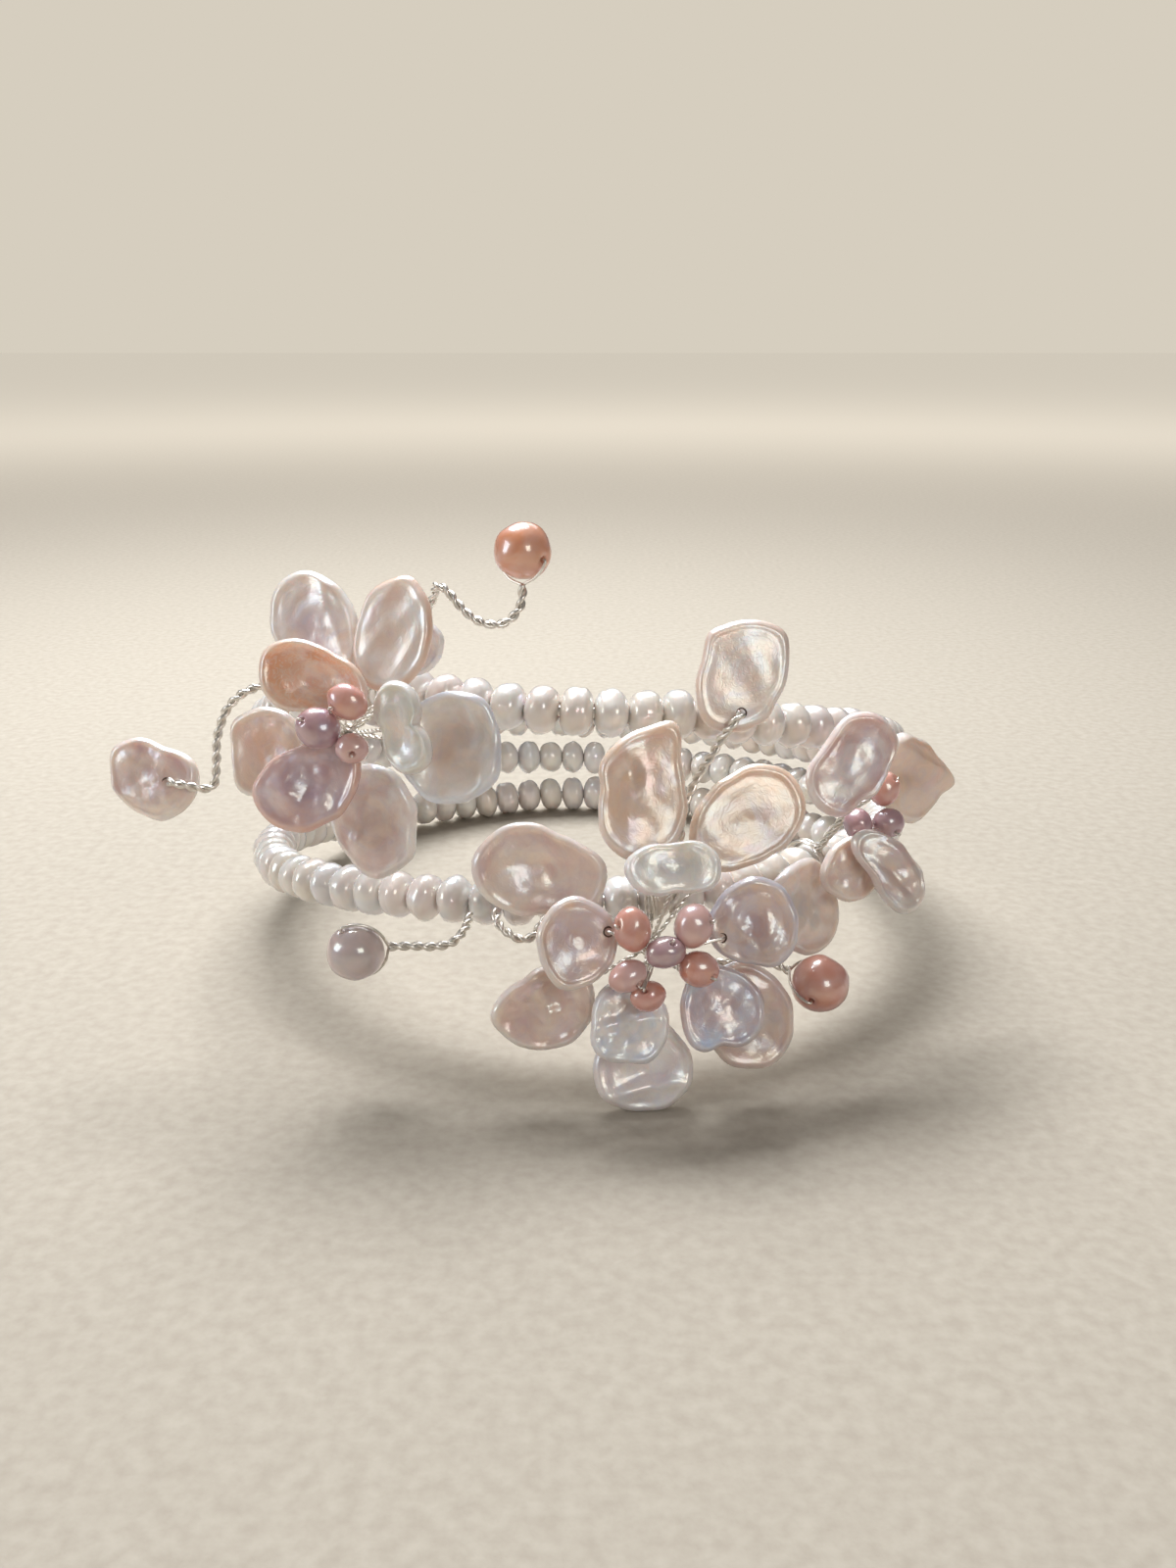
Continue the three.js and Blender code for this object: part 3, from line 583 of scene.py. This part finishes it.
def new_piece(name, shape, material, nodes=(), attributes=()):
    """A smooth mesh piece in place, in metres from a shape in millimetres: corners and faces."""
    corners, faces = shape
    mesh = bpy.data.meshes.new(name)
    mesh.from_pydata([tuple(c * MM for c in corner) for corner in corners], [], faces)
    mesh.polygons.foreach_set("use_smooth", [True] * len(mesh.polygons))
    for label, kind, values in attributes:
        layer = mesh.attributes.new(label, kind, "POINT")
        layer.data.foreach_set("value" if kind == "FLOAT" else "vector", np.ravel(values))
    mesh.materials.append(material)
    piece = new_object(name, mesh)
    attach(piece, "root")
    if nodes:
        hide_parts(*nodes)


def ring_faces(start, rings, sides):
    """Faces between rings of corners, and fans to the pole corners that follow them."""
    faces = []
    for r in range(rings - 1):
        for s in range(sides):
            a, b = start + r * sides + s, start + r * sides + (s + 1) % sides
            faces.append((a, b, b + sides, a + sides))
    first = start + rings * sides
    last_ring = start + (rings - 1) * sides
    for s in range(sides):
        after = (s + 1) % sides
        faces.append((first, start + after, start + s))
        faces.append((first + 1, last_ring + s, last_ring + after))
    return faces


hash_factors = (12.9898, 78.233)
hash_scale = 43758.5453


def hashed(bead, trait):
    """A steady number from 0 to 1, different for each bead and trait."""
    total = sin(bead * hash_factors[0] + trait * hash_factors[1]) * hash_scale
    return total - math.floor(total)


# How far beads differ from a full round one, as shares of its sizes: radius, length, flatness of
# the ends, slant, roundness, dents, and the groove that some have
bead_fullest = 0.985
bead_shrink = 0.075
bead_shortest = 0.97
bead_stretch = 0.05
bead_roundest = 0.58
bead_flatter = 0.26
bead_skew = 0.22
bead_oval = 0.05
bead_dent = 0.1
bead_fine_dent = 0.03
groove_depth = 0.07
groove_width = 0.12
groove_from = 0.6


def bead_rings(k, from_turn, to_turn):
    """One button pearl: full sides, nearly flat ends, slightly askew and dented."""
    sides, steps = 24, 16
    turn = (from_turn + to_turn) / 2
    middle = string_point(turn)
    along = string_way(turn)
    outward = coil_turning @ Vector((cos(radians(turn)), sin(radians(turn)), 0))
    outward = (outward - along * outward.dot(along)).normalized()
    upward = along.cross(outward)
    skew = Vector((hashed(k, 1) - 0.5, hashed(k, 2) - 0.5, 0)) * bead_skew
    lean_axis = (along + outward * skew.x + upward * skew.y).normalized()
    outward = (outward - lean_axis * outward.dot(lean_axis)).normalized()
    upward = lean_axis.cross(outward)
    radius = bead_diameter / 2 * (bead_fullest - bead_shrink * hashed(k, 3))
    half_length = bead_pitch / 2 * (bead_shortest + bead_stretch * hashed(k, 4))
    squareness = bead_roundest + bead_flatter * hashed(k, 5)
    grooved = hashed(k, 6) > groove_from
    groove_at = (hashed(k, 7) - 0.5) * 0.7
    oval = bead_oval * (hashed(k, 8) - 0.3)
    turned = hashed(k, 9) * pi
    corners = []
    for step in range(1, steps):
        angle = pi * step / steps
        level = -cos(angle)
        size = sin(angle) ** squareness
        if grooved:
            size *= 1 - groove_depth * exp(-((level - groove_at) / groove_width) ** 2)
        for s in range(sides):
            around = 2 * pi * s / sides
            direction = heading(outward, upward, around)
            seed = direction * 0.9 + along * level * 0.7 + Vector((k * 3.1, k * 1.7, 0))
            dent = 1 + bead_dent * noise.noise(seed * 1.3) + bead_fine_dent * noise.noise(seed * 3.1)
            dent *= 1 + oval * cos(2 * (around - turned))
            corners.append(middle + lean_axis * level * half_length + direction * radius * size * dent)
    corners.append(middle - lean_axis * half_length)
    corners.append(middle + lean_axis * half_length)
    return corners, steps - 1, sides


def string_of_beads(name, node, first, last, material):
    """The beads from first to last as one mesh, each with a tone of its own."""
    corners, faces, tones = [], [], []
    for k in range(first, last):
        bead, rings, sides = bead_rings(k, turns[k], turns[k + 1])
        faces += ring_faces(len(corners), rings, sides)
        corners += bead
        tones += [hashed(k, 11)] * len(bead)
    new_piece(name, (corners, faces), material, [node], attributes=[("tone", "FLOAT", tones)])


def tube(points, diameter, sides=8):
    """Corners and faces of a round tube along points, with closed ends."""
    points = [Vector(p) for p in points]
    last = len(points) - 1
    tangents = [(points[min(i + 1, last)] - points[max(i - 1, 0)]).normalized() for i in range(last + 1)]
    side = tangents[0].orthogonal().normalized()
    corners = []
    for point, tangent in zip(points, tangents):
        side = (side - tangent * side.dot(tangent)).normalized()
        other = tangent.cross(side)
        for s in range(sides):
            angle = 2 * pi * s / sides
            corners.append(point + heading(side, other, angle) * diameter / 2)
    corners += [points[0], points[-1]]
    return corners, ring_faces(0, len(points), sides)


def smooth_path(points, step=0.15):
    """A smooth curve through points, at even steps."""
    points = [Vector(p) for p in points]
    padded = [points[0] * 2 - points[1]] + points + [points[-1] * 2 - points[-2]]
    path = []
    for p0, p1, p2, p3 in zip(padded, padded[1:], padded[2:], padded[3:]):
        count = max(2, round((p2 - p1).length / step))
        for i in range(count):
            t = i / count
            path.append(0.5 * (
                2 * p1 + (p2 - p0) * t + (2 * p0 - 5 * p1 + 4 * p2 - p3) * t ** 2
                + (3 * p1 - p0 - 3 * p2 + p3) * t ** 3
            ))
    return path + [points[-1]]


def twisted(path, strands, strand_width, spread, lay):
    """Strands wound round a path, spread from its middle, with a full turn in each lay."""
    last = len(path) - 1
    side = (path[1] - path[0]).normalized().orthogonal().normalized()
    lines = [[] for _ in range(strands)]
    travelled = 0
    for i, point in enumerate(path):
        tangent = (path[min(i + 1, last)] - path[max(i - 1, 0)]).normalized()
        side = (side - tangent * side.dot(tangent)).normalized()
        other = tangent.cross(side)
        if i:
            travelled += (point - path[i - 1]).length
        for strand in range(strands):
            angle = 2 * pi * (travelled / lay + strand / strands)
            lines[strand].append(point + heading(side, other, angle) * spread)
    return [tube(line, strand_width, 7) for line in lines]


def joined(parts):
    """The corners and faces of several meshes as one."""
    corners, faces = [], []
    for more_corners, more_faces in parts:
        start = len(corners)
        corners += more_corners
        faces += [tuple(index + start for index in face) for face in more_faces]
    return corners, faces


# Petals

# The rim is each corner that lies farthest out within this many degrees, and the middle is what
# lies within this share of the reach
rim_window = 9
least_rim_share = 0.3
middle_share = 0.2


def petal_fit(node, flower, look):
    """A petal's middle, axes, outline radius by angle and mid-surface, read from its solid."""
    corners = node_corners(node)
    middle = corners.mean(axis=0)
    _, _, axes = np.linalg.svd(corners - middle)
    normal = Vector(axes[2])
    flower_axes, flower_middle = flowers[flower]
    if normal.dot(flower_axes.col[2]) < 0:
        normal.negate()
    away = Vector(middle) - flower_middle
    up = (away - normal * away.dot(normal)).normalized()
    across = up.cross(normal)
    local = (corners - middle) @ np.array([across, up, normal]).T
    angles = np.arctan2(local[:, 1], local[:, 0])
    radii = np.hypot(local[:, 0], local[:, 1])
    rim = []
    for i, (angle, radius) in enumerate(zip(angles, radii)):
        near = np.abs(np.angle(np.exp(1j * (angles - angle)))) < radians(rim_window)
        if radius >= radii[near].max() - 1e-6 and radius > least_rim_share * radii.max():
            rim.append(i)
    rim = np.array(rim)
    harmonics = look.get("harmonics", 3) if len(rim) > 9 else 2

    def waves(angle):
        angle = np.atleast_1d(angle)
        rows = [np.ones_like(angle)]
        for n in range(1, harmonics + 1):
            rows += [np.cos(n * angle), np.sin(n * angle)]
        return np.array(rows).T

    outline, *_ = np.linalg.lstsq(waves(angles[rim]), radii[rim], rcond=None)
    inner = radii < middle_share * radii.max()
    top = local[inner, 2].max() if inner.any() else local[:, 2].max()
    bottom = local[inner, 2].min() if inner.any() else local[:, 2].min()

    def powers(x, y):
        return np.array([np.ones_like(x), x, y, x * x, x * y, y * y]).T

    known_x = np.append(local[rim, 0], [0] * 4)
    known_y = np.append(local[rim, 1], [0] * 4)
    known_z = np.append(local[rim, 2], [(top + bottom) / 2] * 4)
    level, *_ = np.linalg.lstsq(powers(known_x, known_y), known_z, rcond=None)
    return dict(
        middle=Vector(middle), across=across, up=up, normal=normal, thickness=top - bottom,
        radius=lambda angle: waves(angle) @ outline, level=lambda x, y: powers(x, y) @ level,
        size=float(radii[rim].mean()),
        clock=math.atan2(up.dot(flower_axes.col[1]), up.dot(flower_axes.col[0])),
    )


def petal_dents(look, seed, x, y, share):
    """How far a point of a petal is pushed out or in, in millimetres."""
    still = 1 - share ** 6 * 0.5
    streak = radians(look.get("streaks", 0))
    stretch = 0.45 if "streaks" in look else 1.0
    turned_x = (x * cos(streak) + y * sin(streak)) * stretch
    turned_y = -x * sin(streak) + y * cos(streak)
    place = Vector((turned_x * 1.5 + seed * 7.3, turned_y * 1.5, seed * 2.9))
    push = 1.8 * noise.noise(place) + 0.55 * noise.noise(place * 2.1) + 0.15 * noise.noise(place * 4.3)
    push *= look["wave"]
    for direction, at, height, width in look.get("ridges", []):
        angle = radians(direction)
        across = -x * sin(angle) + y * cos(angle) - at
        across += 0.12 * sin(2.5 * x * cos(angle) + seed)
        push += height * exp(-(across / width) ** 2) * 0.7
    for hollow_x, hollow_y, depth, radius in look.get("hollows", []):
        push -= depth * exp(-((x - hollow_x) ** 2 + (y - hollow_y) ** 2) / radius ** 2)
    rings = look.get("rings", 0)
    if rings:
        push += 0.018 * sin(2 * pi * rings * share + seed + 1.5 * x)
    return push * still


def local_angle(fit, direction):
    """A direction counted from the flower's right, in the petal's own axes."""
    return radians(direction) - fit["clock"] + pi / 2


def petal_outline(look, fit, seed, angles):
    """The radius of a petal's rim at each angle: the solid's, slightly uneven, with its corners."""
    outline = fit["radius"](angles)
    outline = outline * (1 + 0.01 * np.sin(5 * angles + seed) + 0.008 * np.sin(9 * angles + 2 * seed))
    for direction, reach, half_width in look.get("edges", []):
        off = np.angle(np.exp(1j * (angles - local_angle(fit, direction))))
        outline = outline + reach * np.exp(-(off / radians(half_width)) ** 2)
    return outline


def petal_point(fit, x, y, height):
    """A point in place, from its distances across, along and out of a petal."""
    return fit["middle"] + fit["across"] * x + fit["up"] * y + fit["normal"] * height


def half_body(fit, share):
    """Half of a petal's thickness at a share of the way to its rim."""
    return fit["thickness"] / 2 * (0.72 * (1 - share ** 5) ** 0.5 + 0.12 * (1 - share ** 2))


def petal_hole(node, look, fit, seed):
    """The point of a petal's face where its drill hole shows."""
    direction, share = petal_holes[node]
    angle = local_angle(fit, direction)
    reach = float(fit["radius"](angle)[0]) * share
    x, y = reach * cos(angle), reach * sin(angle)
    push = petal_dents(look, seed, x / fit["size"], y / fit["size"], share)
    height = fit["level"](np.array([x]), np.array([y]))[0] + half_body(fit, share) + push
    return petal_point(fit, x, y, height)


def petal_piece(node, flower, seed):
    """One flat pearl in the place of its node, as rings from the back's middle to the front's."""
    look = petal_looks[node]
    fit = petal_fit(node, flower, look)
    creases = [
        (degrees(local_angle(fit, direction)), *rest) for direction, *rest in look.get("creases", [])
    ]
    look = dict(look, ridges=look.get("ridges", []) + creases)
    sides, rings = 80, 26
    angles = np.linspace(0, 2 * pi, sides, endpoint=False)
    outline = petal_outline(look, fit, seed, angles)
    shares = np.sin(np.linspace(0.06, pi / 2, rings)) ** 0.9
    corners, places = [], []
    order = [(share, -1) for share in shares] + [(share, 1) for share in shares[-2::-1]]
    for share, side in order:
        x, y = outline * share * np.cos(angles), outline * share * np.sin(angles)
        level = fit["level"](x, y)
        roll = rim_roll * exp(-((share - 0.9) / 0.07) ** 2) if share < 1 else 0
        body = half_body(fit, share) + roll
        for i in range(sides):
            unit_x, unit_y = x[i] / fit["size"], y[i] / fit["size"]
            push = petal_dents(look, seed, unit_x, unit_y, share) * (1 if side > 0 else back_dent_share)
            height = level[i] + side * body + push
            corner = petal_point(fit, x[i], y[i], height)
            corner.z = max(corner.z, 0)
            corners.append(corner)
            places.append((unit_x + seed * 3, unit_y, share))
    for side in (-1, 1):
        push = petal_dents(look, seed, 0, 0, 0) * (1 if side > 0 else back_dent_share)
        height = fit["level"](np.zeros(1), np.zeros(1))[0] + side * fit["thickness"] * 0.42 + push
        corners.append(petal_point(fit, 0, 0, height))
        places.append((seed * 3, 0, 0))
    faces = ring_faces(0, len(order), sides)
    material = petal_material(f"{node}_nacre", look)
    attributes = [("petal_place", "FLOAT_VECTOR", places)]
    new_piece(f"{node}_shell", (corners, faces), material, [node], attributes=attributes)
    if node in petal_holes:
        fit["hole"] = petal_hole(node, look, fit, seed)
    return fit


# Drill holes: rings of a lip and a cup as (radius, height), and how deep each side is closed
hole_profile = [(0.42, -0.12), (0.41, 0.03), (0.34, 0.07), (0.29, 0.02), (0.26, -0.08)]
hole_backs = (0.12, 0.08)


def drill_holes(fits):
    """Each hole as a small cup with a raised lip, let into the petal's face, painted dark brown all over as
    the shade inside the bore.
    """
    material, tree, shader = new_material("drilled_nacre")
    grain = noise_node(tree, object_place(tree), scale=900, detail=3)
    # Painted shade: dark brown over the whole cup and lip, standing for the shade inside the bore
    shade = ramp_node(tree, grain, [(0.3, srgb("4a3830")), (0.7, srgb("6e564a"))])
    set_values(shader, Base_Color=shade, Roughness=0.7)
    corners, faces = [], []
    sides = 16
    for fit in fits:
        start = len(corners)
        for radius, height in hole_profile:
            for s in range(sides):
                angle = 2 * pi * s / sides
                out = heading(fit["across"], fit["up"], angle)
                corners.append(fit["hole"] + out * radius + fit["normal"] * height)
        corners += [fit["hole"] - fit["normal"] * depth for depth in hole_backs]
        faces += ring_faces(start, len(hole_profile), sides)
    new_piece("drill_holes", (corners, faces), material)


# Round pearls

def pearl_piece(node, flower, materials):
    """A round pearl in the place of its node, slightly uneven, with a drill hole sunk into it."""
    tone, facing, long_direction, longer = pearl_looks[node]
    long_angle = radians(long_direction)
    long_way = flowers[flower][0] @ Vector((cos(long_angle), sin(long_angle), 0))
    low, high = (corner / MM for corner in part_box(node))
    middle = (low + high) / 2
    sizes = (high - low) / 2 * (centre_pearl_swell if "centre" in node else 1.0)
    axis = (flowers[flower][0] @ Vector(facing)).normalized()
    side = axis.orthogonal().normalized()
    other = axis.cross(side)
    sides, rings = 28, 18
    seed = sum(ord(letter) for letter in node) % 97
    hole_angle = hole_diameter / 2 / sizes.x
    lip = hole_angle * 1.35
    last_ring = pi - 0.1
    angles = [hole_angle * 0.8, hole_angle, lip]
    angles += [lip + (last_ring - lip) * i / rings for i in range(1, rings + 1)]
    sinks = [0.72, 0.94] + [1.0] * (rings + 1)
    corners = []
    for polar, sink in zip(angles, sinks):
        for s in range(sides):
            direction = heading(axis, heading(side, other, 2 * pi * s / sides), polar)
            bulge = 1 + 0.05 * noise.noise(direction * 1.6 + Vector((seed, 0, 0)))
            reach = Vector(d * r * sink * bulge for d, r in zip(direction, sizes))
            corners.append(middle + reach + long_way * reach.dot(long_way) * (longer - 1))
    corners.append(middle + Vector(d * r * 0.7 for d, r in zip(axis, sizes)))
    corners.append(middle - Vector(d * r for d, r in zip(axis, sizes)))
    faces = [face[::-1] for face in ring_faces(0, len(angles), sides)]
    new_piece(f"{node}_round", (corners, faces), materials[tone], [node])
    return middle, axis, sizes


# Wires

def pearl_loops(end, pearl):
    """Two fine wires that part at a stem's end and lie on its pearl, each into one end of the bore."""
    middle, axis, sizes = pearl
    start = (end - middle).normalized()
    loops = []
    for way, hold in ((axis, 0.75), (-axis, 0.95)):
        bend = start.angle(way)
        turning = start.cross(way).normalized()
        turned = [Matrix.Rotation(bend * i / 12, 3, turning) @ start for i in range(2, 12)]
        arc = [middle + direction * (sizes.x + 0.2) for direction in turned]
        line = [end] + arc + [middle + way * (sizes.x + 0.12), middle + way * sizes.x * hold]
        loops.append(tube(smooth_path(line), fine_wire_diameter, 7))
    return loops


def stem_piece(node, wire, pearl=None):
    """A stem of two twisted strands, which holds its pearl if it has one."""
    flower, points = stems[node]
    points = [in_flower(flower, point) for point in points]
    parts = twisted(smooth_path(points), 2, strand_diameter, strand_diameter * strand_spread, stem_lay)
    if pearl:
        parts += pearl_loops(points[-1], pearl)
    new_piece(f"{node}_wires", joined(parts), wire, [node])


def winding(centre, along, towards):
    """Fine wire wound side by side round the string, a little unevenly."""
    other = along.cross(towards)
    reach = bead_diameter / 2 + winding_gap
    steps = 20
    points = []
    for step in range(winding_rounds * steps + 1):
        angle = 2 * pi * step / steps
        shift = winding_width * (step / (winding_rounds * steps) - 0.5) + 0.08 * sin(3.1 * angle)
        size = reach + 0.07 * sin(0.37 * angle + 1)
        points.append(centre + along * shift + heading(towards, other, angle) * size)
    return tube(points, fine_wire_diameter, 7)


def heart_knot(heart, axes):
    """Three tilted rounds of fine wire where a flower's wires meet."""
    rounds = []
    for tilt in (0.2, 1.2, 2.3):
        points = []
        for step in range(41):
            angle = 2 * pi * step / 20
            raised = sin(angle)
            ring = Vector((cos(angle), raised * cos(tilt), raised * sin(tilt)))
            points.append(heart + axes @ ring * (knot_radius + 0.08 * sin(1.7 * angle)))
        rounds.append(tube(points, fine_wire_diameter, 6))
    return rounds


def petal_wires(fit, heart, top, axes):
    """The arm that carries a petal from behind, and the wire into its drill hole if that shows."""
    wires = []
    if "hole" in fit:
        over = (fit["hole"] + top) / 2 + axes.col[2] * 0.9
        line = [top, over, fit["hole"] + fit["normal"] * 0.35, fit["hole"] - fit["normal"] * 0.1]
        wires.append(tube(smooth_path(line), fine_wire_diameter, 7))
    inner = fit["middle"] - fit["up"] * fit["size"] * 0.62
    behind = inner - fit["normal"] * (fit["thickness"] / 2 + 0.35)
    arm = smooth_path([heart, (heart + behind) / 2, behind])
    return wires + twisted(arm, 2, arm_wire_diameter, arm_spread, arm_lay)


def pearl_wire(pearl, top, axes):
    """The wire from a flower's top into the drill hole of one of its small pearls."""
    middle, axis, sizes = pearl
    hole = middle + axis * sizes.x
    over = (hole + top) / 2 + axes.col[2] * 0.5
    line = [top, over, hole + axis * 0.25, hole - axis * sizes.x * 0.25]
    return tube(smooth_path(line), pearl_wire_diameter, 6)


def hub_piece(name, seat, fits, centres, wire):
    """Fine wire wound round the string, twisted up to the flower's middle and out to each petal."""
    centre = string_point(seat["turn"])
    along = string_way(seat["turn"])
    heart = in_flower(name, seat["heart"])
    towards = heart - centre
    towards = (towards - along * towards.dot(along)).normalized()
    parts = [winding(centre, along, towards)]
    foot = centre + towards * (bead_diameter / 2 + winding_gap)
    post = smooth_path([foot, (foot + heart) / 2, heart])
    parts += twisted(post, post_strands, fine_wire_diameter, fine_wire_diameter, post_lay)
    top = in_flower(name, seat["heart"][:2] + (max(seat["knot_top"], seat["heart"][2] + 0.3),))
    if (top - heart).length > 1:
        upper_post = smooth_path([heart, (heart + top) / 2, top])
        parts += twisted(upper_post, post_strands, fine_wire_diameter, fine_wire_diameter, top_lay)
    axes, _ = flowers[name]
    parts += heart_knot(heart, axes)
    for fit in fits:
        parts += petal_wires(fit, heart, top, axes)
    parts += [pearl_wire(pearl, top, axes) for pearl in centres]
    new_piece(f"{name}_wires", joined(parts), wire, [f"{name}_wire_hub"])


def spring_wire(wire):
    """The wire that the beads are threaded on, from the first bead to the last."""
    first, last = turns[0], turns[-1]
    steps = 900
    points = [string_point(first + (last - first) * i / steps) for i in range(steps + 1)]
    new_piece("spring_wire", tube(points, spring_wire_diameter), wire)


# Building

wire = wire_material()
beads = bead_material()
string_of_beads("lower_beads", "lower_bead_string", 0, split, beads)
string_of_beads("upper_beads", "upper_bead_string", split, len(turns) - 1, beads)
spring_wire(wire)

pearl_tones = sorted({look[0] for look in pearl_looks.values()})
round_materials = {tone: round_pearl_material(tone) for tone in pearl_tones}
fits = {name: [] for name in flowers}
drilled = []
for seed, node in enumerate(petal_looks):
    if node.startswith("flower"):
        flower = node[:8]
        fit = petal_piece(node, flower, seed)
        fits[flower].append(fit)
    else:
        fit = petal_piece(node, "flower_1" if node.startswith("left") else "flower_2", seed)
    if "hole" in fit:
        drilled.append(fit)
drill_holes(drilled)

pearls = {}
for node in pearl_looks:
    pearls[node] = pearl_piece(node, pearl_flowers.get(node, node[:8]), round_materials)

for name, seat in flower_seats.items():
    hub_piece(name, seat, fits[name], [pearls[node] for node in pearls if node.startswith(name)], wire)
for node in stems:
    stem_piece(node, wire, pearls.get(node.replace("stem", "pearl")))


# Floor, light and camera

# Distances in metres: the floor's side, how far it lies under the beads, and where it starts and
# ends to pass into the backdrop's glow
backdrop_colour = srgb("d6cebf")
floor_side = 6
floor_drop = 0.00002
fade_start = 0.12
fade_end = 0.75
floor_glow = 0.85
sky_colour = (0.54, 0.52, 0.5, 1)
sky_strength = 0.28


def floor():
    """A pale floor with a faint grain, which fades into the backdrop far out."""
    material, tree, shader = new_material("pale_floor")
    grain = noise_node(tree, object_place(tree), scale=900, detail=5)
    shade = ramp_node(tree, grain, [(0.3, srgb("a59c8f")), (0.7, srgb("b1a99c"))])
    set_values(shader, Base_Color=shade, Roughness=0.95)
    bump_node(tree, [shader], grain, strength=0.2, distance=0.0003)
    distance = tree.nodes.new("ShaderNodeVectorMath")
    distance.operation = "LENGTH"
    feed(distance.inputs[0], object_place(tree))
    fade = tree.nodes.new("ShaderNodeMapRange")
    fade.interpolation_type = "SMOOTHSTEP"
    set_values(fade, Value=distance.outputs["Value"], From_Min=fade_start, From_Max=fade_end)
    set_values(fade, To_Min=0.0, To_Max=floor_glow)
    set_values(shader, Emission_Color=backdrop_colour, Emission_Strength=fade.outputs["Result"])
    bpy.ops.mesh.primitive_plane_add(size=floor_side, location=(0, 0, -floor_drop))
    plane = bpy.context.object
    plane.name = "floor"
    plane.data.materials.append(material)


def area_light(name, place, target, size, power, colour):
    """A rectangular light at a place, turned to its target, in metres and watts."""
    data = bpy.data.lights.new(name, "AREA")
    data.shape = "RECTANGLE"
    data.size, data.size_y = size
    data.energy = power
    data.color = colour
    lamp = new_object(name, data)
    lamp.location = place
    lamp.rotation_euler = (Vector(target) - Vector(place)).to_track_quat("-Z", "Y").to_euler()


def studio():
    """Soft light from all round, a plain backdrop for the eye, and four large soft lamps."""
    world = bpy.data.worlds.new("studio")
    bpy.context.scene.world = world
    world.use_nodes = True
    tree = world.node_tree
    soft = tree.nodes["Background"]
    set_values(soft, Color=sky_colour, Strength=sky_strength)
    seen = tree.nodes.new("ShaderNodeBackground")
    set_values(seen, Color=backdrop_colour)
    seen_directly = tree.nodes.new("ShaderNodeLightPath").outputs["Is Camera Ray"]
    mix_shaders(tree, seen_directly, soft.outputs["Background"], seen.outputs["Background"], "World Output")
    middle = (0, 0, 0.015)
    area_light("window", (-0.05, 0.13, 0.3), middle, (0.2, 0.12), 1.9, (0.95, 0.975, 1.0))
    area_light("front_fill", (0.16, -0.34, 0.2), middle, (0.14, 0.14), 0.36, (1.0, 0.97, 0.94))
    area_light("back_fill", (0, 0.6, 0.5), (0, 0.5, 0), (0.7, 0.4), 1.6, (1.0, 0.98, 0.95))
    area_light("left_fill", (-0.34, -0.12, 0.14), middle, (0.12, 0.16), 0.36, (0.97, 0.98, 1.0))


def camera():
    """The photograph's view: 18 degrees down, from in front of the flowers."""
    view_from = Vector((0.97, -131.26, 48.33))
    pitch = 18
    data = bpy.data.cameras.new("camera")
    data.sensor_width = 36
    data.lens = 32.4
    data.clip_start = 0.005
    eye = new_object("camera", data)
    eye.location = (coil_at + view_from) * MM
    eye.rotation_euler = (radians(90 - pitch), 0, 0)
    bpy.context.scene.camera = eye


floor()
studio()
camera()
bpy.context.scene.view_settings.view_transform = "Standard"
